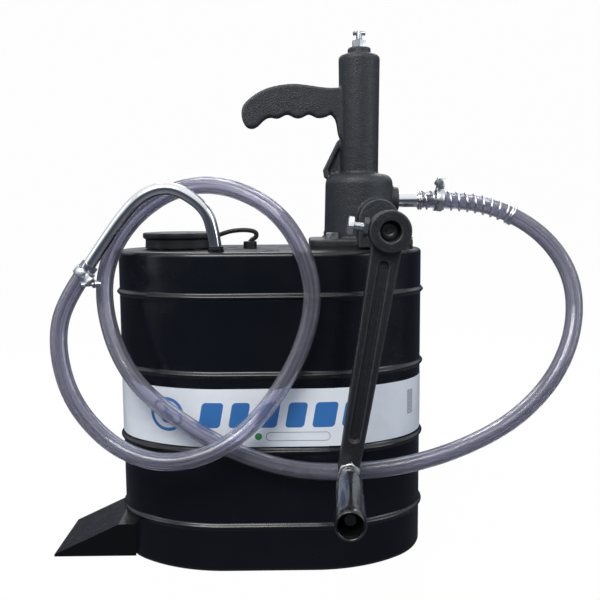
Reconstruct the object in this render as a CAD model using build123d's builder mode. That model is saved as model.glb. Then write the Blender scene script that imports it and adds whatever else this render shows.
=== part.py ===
from build123d import *
import os
from math import acos, atan2, cos, degrees, pi, radians, sin, sqrt, tan

# Hand lever fluid transfer pump on an oval steel drum. Millimetres, +X to the right, +Y to the back,
# +Z up, with the origin at the centre of the drum's bottom. A cast iron pump body stands on the drum
# and carries a carry handle. Its side lever turns a pinion that lifts a toothed piston rod. The fluid
# leaves through a clear hose that ends in a bent spout, parked on top of the drum.

os.makedirs("parts", exist_ok=True)

# ---- drum ----
drum_width = 345.0
drum_depth = 192.0
drum_height = 345.0
drum_end_radius = 80.4
drum_half_flat = 48.2        # half of the straight stretch of the front and back walls
sheet = 1.5                  # steel sheet of the drum
seam_height = 8.0            # how far the top and bottom pans reach along the wall
rim_radius = 5.0
bead_count = 4
bead_lowest = 51.2
bead_top_gap = 46.6          # from the highest bead to the top
bead_proud = 3.0
bead_half = 3.6
label_low_gap = 5.7          # above the second bead
label_high_gap = 14.3        # below the third bead
label_thickness = 0.3
label_gap = 120.0            # the band's two ends stay this far apart at the back

# ---- foot step on the left end ----
step_width = 102.0
step_reach = 74.5            # from the drum's end to the tip
step_height = 37.0
step_tip_height = 2.5
step_run = 73.5              # length of the slope, along X
step_sheet = 2.0

# ---- filler ----
filler_inset = 70.8          # from the drum's left end to the filler's axis
neck_radius = 36.0
neck_wall = 3.5
neck_height = 13.0
cap_clearance = 0.5
cap_wall = 3.0
cap_height = 19.5
cap_lip = 3.8
cap_lip_height = 4.5
cap_skirt_gap = 1.0          # between the skirt and the drum's top
cap_gasket_thickness = 2.0
anchor_reach = 78.7          # from the filler's axis to the anchor
anchor_radius = 8.0
anchor_height = 8.0
tether_width = 8.0
tether_thickness = 3.0

# ---- pump body ----
pump_inset = 70.5            # from the drum's right end to the pump's axis
gasket_thickness = 2.5
flange_width = 114.0
flange_depth = 96.0
flange_corner = 14.0
flange_thickness = 8.5
bell_radius = 38.0
bell_foot_radius = 40.0
bell_rise = 83.0             # this and the other rises are above the drum's top
bell_wall = 6.0
bell_shoulder = 11.0
tower_foot_radius = 21.8
tower_top_radius = 23.2
tower_rise = 215.0
tower_cavity_radius = 15.5
tower_roof = 12.0
spigot_radius = 13.0
spigot_height = 7.5
bolt_left_x = -32.0          # bolt places from the pump's axis: the right pair clears the shaft housing
bolt_left_y = 38.0
bolt_right_x = 48.0
bolt_right_y = 36.0
bolt_radius = 4.0
bolt_head_flats = 13.0
bolt_head_height = 5.5
bolt_length = 20.0
washer_radius = 8.5
washer_thickness = 1.6

# ---- carry handle, cast on the pump body ----
handle_thickness = 22.0
finger_pitch = 24.5
finger_depth = 2.3
finger_rise = 148.4          # mean rise of the handle's underside
web_thickness = 8.0
web_rib_thickness = 15.0
web_rib_width = 6.0

# ---- shaft, bearings and gear ----
shaft_offset = 17.0          # from the pump's axis, so that the pinion meets the rack
shaft_rise = 22.3
shaft_radius = 9.0
shaft_front = -149.0
shaft_shoulder = -27.0
pinion_shaft_radius = 6.0
shaft_rear = 40.0
running_clearance = 0.05
housing_half_width = 22.0
housing_front = -60.0
housing_arch_rise = 10.0     # the arch's centre above the shaft's axis
bearing_radius = 14.0
seal_length = 6.0
front_bush_length = 26.0
rear_boss_radius = 18.0
rear_boss_face = 49.0
rear_bore_radius = 11.0
rear_bush_front = 28.0
rear_bush_length = 13.0
plug_flats = 24.0
plug_head = 6.0
gear_module = 2.25
pinion_teeth = 10
pressure_angle = 25.0
pinion_width = 20.0
addendum = 1.8
dedendum = 2.5
gear_backlash = 0.35
pinion_pocket_gap = 1.3
pin_radius = 2.0
lever_swing = 160.0          # degrees from the lower stop
pitch_radius = gear_module * pinion_teeth / 2
piston_stroke = pitch_radius * radians(lever_swing)

# ---- lever and grip ----
lever_lean = 9.4             # degrees from straight down, towards -X, on the lower stop
lever_back = -135.0
hub_radius = 20.4
hub_depth = 26.0
hub_recess_radius = 10.2
arm_back = -137.0
arm_depth = 14.0
arm_length = 240.0
arm_hub_width = 30.0
arm_end_radius = 10.5
flute_depth = 3.0
flute_radius = 5.0
set_screw_radius = 4.2
set_screw_head_flats = 16.5
set_screw_head_height = 8.5
set_screw_reach = 41.0       # from the shaft's axis to the top of the head
lock_nut_height = 5.0
spindle_radius = 5.0
spindle_lean = 3.6           # degrees, how far the grip leans towards -X
spindle_nut_flats = 19.0
spindle_nut_height = 8.0
grip_start = 10.5            # from the arm's front face
grip_length = 128.0
grip_neck_radius = 9.0
grip_end_radius = 14.0
grip_clearance = 0.08

# ---- piston, rod and pump tube ----
rod_radius = 9.0
rod_rise = 95.0
rod_spigot_radius = 6.0
bush_rise = 73.0
bush_length = 14.0
bush_radius = 14.0
tube_bore_radius = 18.0
tube_wall = 3.0
tube_low = 30.0
tube_seat = 4.5              # how far the tube reaches into the flange
top_hole_gap = 1.5
piston_low = 68.0
piston_gap = 0.1
piston_nut_height = 6.0
piston_nut_flats = 27.0
cup_height = 6.0
piston_nose_radius = 10.0
piston_land = 9.0
cage_height = 20.0
cage_radius = 12.5
cage_roof = 8.0
piston_ball_radius = 7.0
piston_seat_radius = 5.5
chamber_radius = 8.5
ball_lift = 4.0
foot_ball_radius = 9.0
foot_seat_radius = 7.0
foot_body_low = 18.0
foot_spigot = 12.0
foot_cage_bore = 11.0
foot_cage_bar = 3.0
strainer_low = 6.0
strainer_radius = 19.5
strainer_wall = 1.5
strainer_slots = 12

# ---- bleed valve ----
bleed_hex_flats = 14.5
bleed_hex_height = 8.5
bleed_thread_radius = 5.0
bleed_thread_length = 11.5
bleed_stem_radius = 2.9
bleed_rise = 241.0
bleed_bar_radius = 2.1
bleed_bar_length = 14.0

# ---- hose, spring guard, clamps and spout ----
hose_radius = 9.0
hose_bore_radius = 6.0
outlet_rise = 53.5
outlet_boss_radius = 14.0
outlet_boss_reach = 44.8     # this and the hose's start are measured from the pump's axis
outlet_boss_rise = 1.0
nipple_radius = 8.0
nipple_bore = 4.0
nipple_thread = 9.0
barb_length = 18.0
hose_start = 66.6
guard_radius = 11.2
guard_gap = 0.2
clamp_width = 9.0
clamp_thickness = 1.4
clamp_ear_height = 11.0
clamp_ear_thickness = 7.0
clamp_screw_radius = 2.5
clamp_screw_length = 22.0
guard_clamp_reach = 23.9     # from the hose's start to the middle of its clamp
spout_clamp_turn = -50.0     # degrees, turns the ear to the front
spout_y = -82.0
spout_radius = 6.75
spout_bore = 5.0
spout_barb = 22.0
spout_inlet_beyond = 13.9    # the end that the hose is pushed on, past the drum's left end
spout_inlet_drop = 12.5      # and below its top
spout_rise = 79.5            # from the inlet up to the bend's corner
spout_slope = 0.767          # the straight leg's run for each millimetre of rise
spout_crown = 30.8           # level stretch between the first two bends
holder_reach = 47.2          # from the filler's axis to the spout's holder
tip_radius = 3.8
tip_bore = 2.5
tip_length = 16.0
tip_collar_radius = 7.9
tip_collar_length = 3.0
holder_radius = 8.5
holder_height = 3.0
holder_gap = 0.7

# ---- heights that follow ----
flange_low = drum_height + gasket_thickness
flange_high = flange_low + flange_thickness
drum_wall_low = seam_height
drum_wall_high = drum_height - seam_height
half_width = drum_width / 2
half_depth = drum_depth / 2
tube_radius = tube_bore_radius + tube_wall
bell_top = drum_height + bell_rise
tower_top = drum_height + tower_rise
finger_height = drum_height + finger_rise
shaft_z = drum_height + shaft_rise
rod_top = drum_height + rod_rise
bush_low = drum_height + bush_rise
bleed_top = drum_height + bleed_rise
outlet_z = drum_height + outlet_rise

# ---- places along X that follow ----
filler_x = filler_inset - half_width
anchor_x = filler_x + anchor_reach
holder_x = filler_x + holder_reach
pump_x = half_width - pump_inset
shaft_x = pump_x + shaft_offset
outlet_boss_face = pump_x + outlet_boss_reach
hose_start_x = pump_x + hose_start
guard_clamp_x = hose_start_x + guard_clamp_reach

# Centre and radius of the long arc between the flat wall and the round end, tangent to both.
end_centre_x = half_width - drum_end_radius
shoulder_radius = ((end_centre_x - drum_half_flat) ** 2 + half_depth**2 - drum_end_radius**2) / (
    2 * (half_depth - drum_end_radius)
)
shoulder_turn = degrees(atan2(half_depth - shoulder_radius, end_centre_x - drum_half_flat))


def save(piece, name):
    """Labels one finished piece and writes it to its own file."""
    piece.part.label = name
    export_step(piece.part, f"parts/{name}.step")


def oval(height, inset=0.0):
    """The drum's plan outline at one height, drawn inset from its outside."""
    with BuildSketch(Plane.XY.offset(height)) as outline:
        with BuildLine():
            Line((0, inset - half_depth), (drum_half_flat, inset - half_depth))
            CenterArc(
                (drum_half_flat, shoulder_radius - half_depth),
                shoulder_radius - inset,
                -90,
                90 + shoulder_turn,
            )
            CenterArc((end_centre_x, 0), drum_end_radius - inset, shoulder_turn, -shoulder_turn)
            mirror(about=Plane.XZ)
            mirror(about=Plane.YZ)
        make_face()
    return outline.sketch


def oval_slab(height, thickness, inset, radius, ends):
    """A slab of the drum's plan whose edges at the chosen ends (-1 lower, 1 upper) are rounded."""
    with BuildPart() as slab:
        extrude(oval(height, inset), amount=thickness)
        for end in ends:
            fillet(slab.faces().sort_by(Axis.Z)[-1 if end > 0 else 0].edges(), radius)
    return slab.part


def disc(plane, radius):
    """A round sketch centred on a plane."""
    with BuildSketch(plane) as face:
        Circle(radius)
    return face.sketch


def hexagon(plane, flats):
    """A hexagonal sketch centred on a plane, measured across its flats."""
    with BuildSketch(plane) as face:
        RegularPolygon(flats / 2, 6, major_radius=False)
    return face.sketch


def level(x, y, z):
    """A horizontal plane at a point."""
    return Plane(origin=(x, y, z))


def facing_front(x, y, z):
    """An upright plane at a point, facing -Y, with +X to its right."""
    return Plane(origin=(x, y, z), x_dir=(1, 0, 0), z_dir=(0, -1, 0))


def ring(plane, outer, inner, length):
    """A plain tube or ring that starts on a plane."""
    with BuildPart() as tube:
        extrude(disc(plane, outer), amount=length)
        extrude(disc(plane, inner), amount=length, mode=Mode.SUBTRACT)
    return tube


# ---- drum shell: wall with four pressed beads ----
bolt_spots = [
    (x, side * y)
    for x, y in ((bolt_left_x, bolt_left_y), (bolt_right_x, bolt_right_y))
    for side in (-1, 1)
]
bead_pitch = (drum_height - bead_lowest - bead_top_gap) / (bead_count - 1)
bead_heights = [bead_lowest + i * bead_pitch for i in range(bead_count)]
label_low = bead_heights[1] + label_low_gap
label_high = bead_heights[2] - label_high_gap

with BuildPart() as drum_shell:
    extrude(oval(drum_wall_low), amount=drum_wall_high - drum_wall_low)
    for height in bead_heights:
        add(oval_slab(height - bead_half, 2 * bead_half, -bead_proud, bead_proud - 0.3, (-1, 1)))
    extrude(oval(drum_wall_low, sheet), amount=drum_wall_high - drum_wall_low, mode=Mode.SUBTRACT)
    for height in bead_heights:
        extrude(
            oval(height - bead_half + sheet, sheet - bead_proud),
            amount=2 * (bead_half - sheet),
            mode=Mode.SUBTRACT,
        )
save(drum_shell, "drum_shell")

# ---- drum top: pressed pan with the openings for pump, filler, spout tip and tether ----
with BuildPart() as drum_top:
    add(oval_slab(drum_wall_high, seam_height, 0, rim_radius, (1,)))
    add(
        oval_slab(drum_wall_high, seam_height - sheet, sheet, rim_radius - sheet, (1,)),
        mode=Mode.SUBTRACT,
    )
    with Locations((pump_x, 0, drum_height)):
        Hole(tube_radius + top_hole_gap)
    with Locations((filler_x, 0, drum_height)):
        Hole(neck_radius)
    with Locations((holder_x, spout_y, drum_height)):
        Hole(tip_radius + holder_gap)
    with Locations((pump_x, 0, drum_height)):
        with Locations(*bolt_spots):
            Hole(bolt_radius)
save(drum_top, "drum_top")

with BuildPart() as drum_bottom:
    add(oval_slab(0, seam_height, 0, rim_radius, (-1,)))
    add(
        oval_slab(sheet, seam_height - sheet, sheet, rim_radius - sheet, (-1,)),
        mode=Mode.SUBTRACT,
    )
save(drum_bottom, "drum_bottom")

# ---- label band: a plain printed foil round the front and both ends ----
with BuildPart() as label_band:
    extrude(oval(label_low, -label_thickness), amount=label_high - label_low)
    extrude(oval(label_low), amount=label_high - label_low, mode=Mode.SUBTRACT)
    with Locations((0, half_depth, (label_low + label_high) / 2)):
        Box(label_gap, half_depth, label_high - label_low + 2, mode=Mode.SUBTRACT)
save(label_band, "label_band")

# ---- foot step: folded sheet slope welded to the left end, held down with one foot while pumping ----
step_tip_x = -half_width - step_reach
step_inner_x = -half_width + drum_end_radius / 2
with BuildPart() as foot_step:
    with BuildSketch(Plane.XZ):
        with BuildLine():
            Polyline(
                (step_tip_x, 0),
                (step_tip_x, step_tip_height),
                (step_tip_x + step_run, step_height),
                (step_inner_x, step_height),
                (step_inner_x, 0),
                close=True,
            )
        make_face()
    extrude(amount=step_width / 2, both=True)
    with BuildSketch(Plane.XZ):
        with BuildLine():
            Polyline(
                (step_tip_x + 2 * step_sheet, -1),
                (step_tip_x + 2 * step_sheet, step_tip_height),
                (step_tip_x + step_run + step_sheet, step_height - step_sheet),
                (step_inner_x + 1, step_height - step_sheet),
                (step_inner_x + 1, -1),
                close=True,
            )
        make_face()
    extrude(amount=step_width / 2 - step_sheet, both=True, mode=Mode.SUBTRACT)
    extrude(oval(-1), amount=step_height + 2, mode=Mode.SUBTRACT)
save(foot_step, "foot_step")

# ---- filler neck, cap, gasket, tether and anchor ----
save(ring(level(filler_x, 0, drum_height - sheet), neck_radius, neck_radius - neck_wall,
          neck_height + sheet), "filler_neck")

skirt_inner = neck_radius + cap_clearance
skirt_outer = skirt_inner + cap_wall
cap_low = drum_height + cap_skirt_gap
cap_roof_low = drum_height + neck_height + cap_gasket_thickness
cap_top = drum_height + cap_height
with BuildPart() as filler_cap:
    extrude(disc(level(filler_x, 0, cap_low), skirt_outer), amount=cap_top - cap_low)
    extrude(disc(level(filler_x, 0, cap_top - cap_lip_height), skirt_outer + cap_lip),
            amount=cap_lip_height)
    fillet(filler_cap.faces().sort_by(Axis.Z)[-1].edges(), cap_lip_height / 3)
    extrude(disc(level(filler_x, 0, cap_low), skirt_inner), amount=cap_roof_low - cap_low,
            mode=Mode.SUBTRACT)
save(filler_cap, "filler_cap")
save(ring(level(filler_x, 0, drum_height + neck_height), neck_radius, neck_radius - neck_wall - 1,
          cap_gasket_thickness), "cap_gasket")

with BuildPart() as tether_anchor:
    extrude(disc(level(anchor_x, 0, drum_height), anchor_radius), amount=anchor_height)
    fillet(tether_anchor.faces().sort_by(Axis.Z)[-1].edges(), 1.5)
save(tether_anchor, "tether_anchor")

# The strap leaves the cap's lip, bows up and comes down into the anchor.
tether_start_x = filler_x + skirt_outer + cap_lip + 0.8
tether_start_z = cap_top - cap_lip_height / 2
with BuildPart() as cap_tether:
    with BuildLine() as tether_line:
        FilletPolyline(
            (tether_start_x, 0, tether_start_z),
            (tether_start_x + 19, 0, tether_start_z + 6),
            (anchor_x + 1, 0, tether_start_z + 5),
            (anchor_x + 8, 0, tether_start_z - 3),
            (anchor_x + 2, 0, drum_height + anchor_height),
            radius=[14, 7, 4],
        )
    with BuildSketch(Plane(origin=tether_line.line @ 0, x_dir=(0, 1, 0), z_dir=tether_line.line % 0)):
        Rectangle(tether_width, tether_thickness)
    sweep()
save(cap_tether, "cap_tether")

# ---- spout holder: a short collar on the drum's top for the spout's tip ----
save(ring(level(holder_x, spout_y, drum_height), holder_radius, tip_radius + holder_gap,
          holder_height), "nozzle_holder")

# ---- flange gasket ----
with BuildPart() as flange_gasket:
    with BuildSketch(level(pump_x, 0, drum_height)):
        RectangleRounded(flange_width, flange_depth, flange_corner)
        Circle(tube_radius + top_hole_gap, mode=Mode.SUBTRACT)
        with Locations(*bolt_spots):
            Circle(bolt_radius, mode=Mode.SUBTRACT)
    extrude(amount=gasket_thickness)
save(flange_gasket, "flange_gasket")


# ---- pump body ----
def handle_outline():
    """The carry handle's side view: a humped top, a hooked nose and three finger valleys below."""
    ridges = []
    for step in range(9):
        along = -step * finger_pitch / 3
        ridges.append((pump_x - 32 + along,
                       finger_height + finger_depth * cos(2 * pi * along / finger_pitch)))
    with BuildSketch(Plane.XZ) as outline:
        with BuildLine():
            top = Spline(
                (pump_x - 12, drum_height + 181),
                (pump_x - 46, drum_height + 179.5),
                (pump_x - 70.5, drum_height + 182.7),
                (pump_x - 90, drum_height + 181.4),
                (pump_x - 106, drum_height + 177.2),
                (pump_x - 122, drum_height + 167.9),
                (pump_x - 131, drum_height + 157.8),
                (pump_x - 132.2, drum_height + 149),
                (pump_x - 127.5, drum_height + 137),
                (pump_x - 121, drum_height + 135),
            )
            hook = Spline(top @ 1, (pump_x - 114.2, drum_height + 138.2),
                          (pump_x - 107.5, drum_height + 144.5), ridges[-1])
            under = Spline(hook @ 1, *reversed(ridges[:-1]))
            bend = Spline(under @ 1, (pump_x - 26.5, drum_height + 144),
                          (pump_x - 23.6, drum_height + 129), (pump_x - 12, drum_height + 117))
            Line(bend @ 1, top @ 0)
        make_face()
    return outline.sketch


with BuildPart() as pump_casting:
    # Flange, bell and tower are one casting.
    with BuildSketch(level(pump_x, 0, flange_low)):
        RectangleRounded(flange_width, flange_depth, flange_corner)
    extrude(amount=flange_thickness)
    fillet(pump_casting.faces().sort_by(Axis.Z)[-1].edges(), 1.5)
    with BuildSketch(Plane.XZ) as body_profile:
        with BuildLine():
            Polyline(
                (pump_x, flange_low),
                (pump_x + bell_foot_radius, flange_low),
                (pump_x + bell_radius, bell_top),
                (pump_x + tower_foot_radius, bell_top),
                (pump_x + tower_top_radius, tower_top),
                (pump_x + spigot_radius, tower_top),
                (pump_x + spigot_radius, tower_top + spigot_height),
                (pump_x, tower_top + spigot_height),
                close=True,
            )
        make_face()
        # The sketch holds its corners in its own plane, where the second number is the height.
        for corner_x, corner_z, rounding in (
            (pump_x + bell_radius, bell_top, bell_shoulder),
            (pump_x + tower_top_radius, tower_top, 5),
        ):
            corners = body_profile.vertices()
            fillet(corners.sort_by_distance((corner_x, corner_z, 0))[0], rounding)
    revolve(axis=Axis((pump_x, 0, 0), (0, 0, 1)))
    # Shaft housing: an arched box to the front and a round boss to the back.
    with BuildSketch(facing_front(shaft_x, 0, shaft_z)):
        with Locations((0, housing_arch_rise)):
            Circle(housing_half_width)
        arch_foot = shaft_z - flange_low
        with Locations((0, (housing_arch_rise - arch_foot) / 2)):
            Rectangle(2 * housing_half_width, housing_arch_rise + arch_foot)
    extrude(amount=-housing_front)
    extrude(disc(facing_front(shaft_x, rear_boss_face, shaft_z), rear_boss_radius),
            amount=rear_boss_face)
    # Outlet boss to the right.
    extrude(disc(Plane(origin=(pump_x, 0, outlet_z + outlet_boss_rise), z_dir=(1, 0, 0)),
                 outlet_boss_radius), amount=outlet_boss_face - pump_x)
    # Carry handle and the gusset below it.
    extrude(handle_outline(), amount=handle_thickness / 2, both=True)
    for half_thickness, inner_x in ((web_rib_thickness / 2, web_rib_width), (web_thickness / 2, 30)):
        with BuildSketch(Plane.XZ):
            with BuildLine():
                Polyline(
                    (pump_x - 24.5, bell_top + 38),
                    (pump_x - 41, bell_top + 5),
                    (pump_x - 39.5, bell_top - 4),
                    (pump_x - 39.5 + inner_x, bell_top - 4),
                    (pump_x - 41 + inner_x, bell_top + 5),
                    (pump_x - 24.5 + inner_x, bell_top + 38),
                    close=True,
                )
            make_face()
        extrude(amount=half_thickness, both=True)
    # Inside: bell chamber, tower chamber, rod bush seat, tube seat, gear pocket and bearing bores.
    extrude(disc(level(pump_x, 0, flange_high), bell_radius - bell_wall),
            amount=bush_low - flange_high, mode=Mode.SUBTRACT)
    extrude(disc(level(pump_x, 0, flange_low), tube_radius), amount=tube_seat,
            mode=Mode.SUBTRACT)
    extrude(disc(level(pump_x, 0, flange_low), tube_bore_radius), amount=flange_thickness,
            mode=Mode.SUBTRACT)
    extrude(disc(level(pump_x, 0, bush_low), bush_radius), amount=bush_length, mode=Mode.SUBTRACT)
    extrude(disc(level(pump_x, 0, bush_low + bush_length), tower_cavity_radius),
            amount=tower_top - tower_roof - bush_low - bush_length, mode=Mode.SUBTRACT)
    extrude(disc(level(pump_x, 0, tower_top + spigot_height - bleed_thread_length),
                 bleed_thread_radius), amount=bleed_thread_length, mode=Mode.SUBTRACT)
    extrude(disc(level(pump_x, 0, tower_top - tower_roof), bleed_stem_radius),
            amount=tower_roof, mode=Mode.SUBTRACT)
    extrude(disc(facing_front(shaft_x, pinion_width / 2 + pinion_pocket_gap, shaft_z),
                 pitch_radius + addendum + pinion_pocket_gap),
            amount=pinion_width + 2 * pinion_pocket_gap, mode=Mode.SUBTRACT)
    extrude(disc(facing_front(shaft_x, 0, shaft_z), bearing_radius), amount=-housing_front,
            mode=Mode.SUBTRACT)
    extrude(disc(facing_front(shaft_x, rear_boss_face, shaft_z), rear_bore_radius),
            amount=rear_boss_face, mode=Mode.SUBTRACT)
    extrude(disc(Plane(origin=(pump_x, 0, outlet_z), z_dir=(1, 0, 0)), nipple_bore),
            amount=outlet_boss_face - pump_x, mode=Mode.SUBTRACT)
    extrude(disc(Plane(origin=(outlet_boss_face - nipple_thread, 0, outlet_z), z_dir=(1, 0, 0)),
                 nipple_radius), amount=nipple_thread, mode=Mode.SUBTRACT)
    with Locations((pump_x, 0, flange_high)):
        with Locations(*bolt_spots):
            Hole(bolt_radius, depth=flange_thickness)
save(pump_casting, "pump_casting")

# ---- flange bolts and washers ----
with BuildPart() as flange_washers:
    with BuildSketch(level(pump_x, 0, flange_high)):
        with Locations(*bolt_spots):
            Circle(washer_radius)
            Circle(bolt_radius, mode=Mode.SUBTRACT)
    extrude(amount=washer_thickness)
save(flange_washers, "flange_washers")

with BuildPart() as flange_bolts:
    with BuildSketch(level(pump_x, 0, flange_high + washer_thickness)):
        with Locations(*bolt_spots):
            RegularPolygon(bolt_head_flats / 2, 6, major_radius=False)
    extrude(amount=bolt_head_height)
    with BuildSketch(level(pump_x, 0, flange_high + washer_thickness)):
        with Locations(*bolt_spots):
            Circle(bolt_radius)
    extrude(amount=-bolt_length)
save(flange_bolts, "flange_bolts")

# ---- shaft bearings, seal and rear plug ----
save(ring(facing_front(shaft_x, housing_front + seal_length, shaft_z), bearing_radius,
          shaft_radius + running_clearance, seal_length), "shaft_seal")
save(ring(facing_front(shaft_x, housing_front + seal_length + front_bush_length, shaft_z),
          bearing_radius, shaft_radius + running_clearance, front_bush_length), "front_bush")
save(ring(facing_front(shaft_x, rear_bush_front + rear_bush_length, shaft_z), rear_bore_radius,
          pinion_shaft_radius + running_clearance, rear_bush_length), "rear_bush")

with BuildPart() as rear_plug:
    extrude(disc(facing_front(shaft_x, rear_boss_face, shaft_z), rear_bore_radius),
            amount=rear_boss_face - rear_bush_front - rear_bush_length)
    extrude(hexagon(facing_front(shaft_x, rear_boss_face + plug_head, shaft_z), plug_flats),
            amount=plug_head)
save(rear_plug, "rear_plug")

save(ring(level(pump_x, 0, bush_low), bush_radius, rod_radius + running_clearance, bush_length),
     "rod_bush")

# ---- lever shaft, pinion and pin ----
with BuildPart() as lever_shaft:
    extrude(disc(facing_front(shaft_x, shaft_shoulder, shaft_z), shaft_radius),
            amount=shaft_shoulder - shaft_front)
    extrude(disc(facing_front(shaft_x, shaft_rear, shaft_z), pinion_shaft_radius),
            amount=shaft_rear - shaft_shoulder)
    chamfer(lever_shaft.faces().sort_by(Axis.Y)[0].edges(), 1)
    with BuildSketch(level(shaft_x, 0, shaft_z)):
        Circle(pin_radius)
    extrude(amount=pinion_shaft_radius + 1, both=True, mode=Mode.SUBTRACT)
save(lever_shaft, "lever_shaft")

# The pinion's flanks are involutes of its base circle, thinned by the backlash. One tooth points to
# the rod, where the rack has a space.
base_radius = pitch_radius * cos(radians(pressure_angle))
tip_circle = pitch_radius + addendum
root_circle = pitch_radius - dedendum
tooth_half_angle = (pi * gear_module / 2 - gear_backlash) / 2 / pitch_radius


def involute(angle):
    """The involute function of a pressure angle in radians."""
    return tan(angle) - angle


def flank_point(radius, side, tooth_angle):
    """A point on one flank of the tooth at tooth_angle; side is -1 or 1."""
    opening = involute(radians(pressure_angle)) - involute(acos(min(1, base_radius / radius)))
    angle = tooth_angle + side * (tooth_half_angle + opening)
    return radius * cos(angle), radius * sin(angle)


with BuildPart() as drive_pinion:
    with BuildSketch(facing_front(shaft_x, pinion_width / 2, shaft_z)):
        Circle(root_circle)
        for tooth in range(pinion_teeth):
            middle = pi + tooth * 2 * pi / pinion_teeth
            radii = [base_radius + (tip_circle - base_radius) * share for share in (0, 0.35, 0.7, 1)]
            lower = [flank_point(radius, -1, middle) for radius in radii]
            upper = [flank_point(radius, 1, middle) for radius in radii]
            foot = root_circle - 1
            spread = tooth_half_angle + involute(radians(pressure_angle))
            feet = [(foot * cos(middle + side * spread), foot * sin(middle + side * spread))
                    for side in (-1, 1)]
            with BuildLine():
                Line(feet[0], lower[0])
                Spline(*lower)
                Line(lower[-1], upper[-1])
                Spline(*upper)
                Line(upper[0], feet[1])
                Line(feet[1], feet[0])
            make_face()
        Circle(pinion_shaft_radius, mode=Mode.SUBTRACT)
    extrude(amount=pinion_width)
    with BuildSketch(level(shaft_x, 0, shaft_z)):
        Circle(pin_radius)
    extrude(amount=tip_circle, both=True, mode=Mode.SUBTRACT)
save(drive_pinion, "drive_pinion")

with BuildPart() as pinion_pin:
    with BuildSketch(level(shaft_x, 0, shaft_z)):
        Circle(pin_radius)
    extrude(amount=root_circle - 0.3, both=True)
save(pinion_pin, "pinion_pin")

# ---- toothed piston rod ----
rack_pitch_x = shaft_x - pitch_radius
rack_flat_x = rack_pitch_x + addendum
tooth_pitch = pi * gear_module
spaces_up = 2
spaces_down = int(piston_stroke / tooth_pitch) + 3
cage_top = piston_low + piston_nut_height + cup_height + piston_land + cage_height
with BuildPart() as piston_rod:
    extrude(disc(level(pump_x, 0, cage_top), rod_radius), amount=rod_top - cage_top)
    chamfer(piston_rod.faces().sort_by(Axis.Z)[-1].edges(), 1.5)
    extrude(disc(level(pump_x, 0, cage_top - cage_roof + 1), rod_spigot_radius),
            amount=cage_roof - 1)
    rack_low = shaft_z - (spaces_down + 0.5) * tooth_pitch
    rack_high = shaft_z + (spaces_up + 0.5) * tooth_pitch
    with Locations((rack_flat_x + rod_radius, 0, (rack_low + rack_high) / 2)):
        Box(2 * rod_radius, 4 * rod_radius, rack_high - rack_low, mode=Mode.SUBTRACT)
    space_half = (tooth_pitch / 2 + gear_backlash) / 2
    flank = tan(radians(pressure_angle))
    with BuildSketch(Plane.XZ):
        for space in range(-spaces_down, spaces_up + 1):
            middle = shaft_z + space * tooth_pitch
            with BuildLine():
                Polyline(
                    (rack_pitch_x - dedendum, middle - space_half + dedendum * flank),
                    (rack_flat_x + 1, middle - space_half - (addendum + 1) * flank),
                    (rack_flat_x + 1, middle + space_half + (addendum + 1) * flank),
                    (rack_pitch_x - dedendum, middle + space_half - dedendum * flank),
                    close=True,
                )
            make_face()
    extrude(amount=rod_radius + 1, both=True, mode=Mode.SUBTRACT)
save(piston_rod, "piston_rod")

# ---- piston: head with ball valve cage, leather cup and nut ----
cup_low = piston_low + piston_nut_height
land_low = cup_low + cup_height
seat_z = land_low + 3
with BuildPart() as piston_head:
    extrude(disc(level(pump_x, 0, piston_low), piston_nose_radius), amount=land_low - piston_low)
    extrude(disc(level(pump_x, 0, land_low), tube_bore_radius - piston_gap), amount=piston_land)
    extrude(disc(level(pump_x, 0, land_low + piston_land), cage_radius), amount=cage_height)
    extrude(disc(level(pump_x, 0, piston_low), piston_seat_radius), amount=seat_z - piston_low,
            mode=Mode.SUBTRACT)
    extrude(disc(level(pump_x, 0, seat_z), chamber_radius),
            amount=cage_top - cage_roof - seat_z, mode=Mode.SUBTRACT)
    extrude(disc(level(pump_x, 0, cage_top - cage_roof), rod_spigot_radius), amount=cage_roof,
            mode=Mode.SUBTRACT)
    for direction in ((1, 0, 0), (0, 1, 0)):
        port = Plane(origin=(pump_x, 0, land_low + piston_land + 6), z_dir=direction)
        extrude(disc(port, 4), amount=cage_radius + 1, both=True, mode=Mode.SUBTRACT)
save(piston_head, "piston_head")

with BuildPart() as piston_cup:
    extrude(disc(level(pump_x, 0, cup_low), tube_bore_radius - piston_gap / 2), amount=cup_height)
    extrude(disc(level(pump_x, 0, cup_low), piston_nose_radius), amount=cup_height,
            mode=Mode.SUBTRACT)
save(piston_cup, "piston_cup")

with BuildPart() as piston_nut:
    extrude(hexagon(level(pump_x, 0, piston_low), piston_nut_flats), amount=piston_nut_height)
    extrude(disc(level(pump_x, 0, piston_low), piston_nose_radius), amount=piston_nut_height,
            mode=Mode.SUBTRACT)
save(piston_nut, "piston_nut")


def ball(seat_height, seat_radius, radius, name):
    """A valve ball that rests on the edge of a round seat, lifted by a hair."""
    with BuildPart() as sphere:
        rest = seat_height + sqrt(radius**2 - seat_radius**2) + 0.05
        with Locations((pump_x, 0, rest)):
            Sphere(radius)
    save(sphere, name)


ball(seat_z, piston_seat_radius, piston_ball_radius, "piston_ball")

# ---- pump tube and foot valve ----
save(ring(level(pump_x, 0, tube_low), tube_radius, tube_bore_radius, flange_low + tube_seat - tube_low),
     "pump_tube")

foot_seat_z = tube_low + foot_spigot
with BuildPart() as foot_valve_body:
    extrude(disc(level(pump_x, 0, foot_body_low), tube_radius), amount=tube_low - foot_body_low)
    extrude(disc(level(pump_x, 0, tube_low), tube_bore_radius), amount=foot_spigot)
    extrude(disc(level(pump_x, 0, foot_body_low), foot_seat_radius),
            amount=foot_seat_z - foot_body_low, mode=Mode.SUBTRACT)
save(foot_valve_body, "foot_valve_body")

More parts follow.
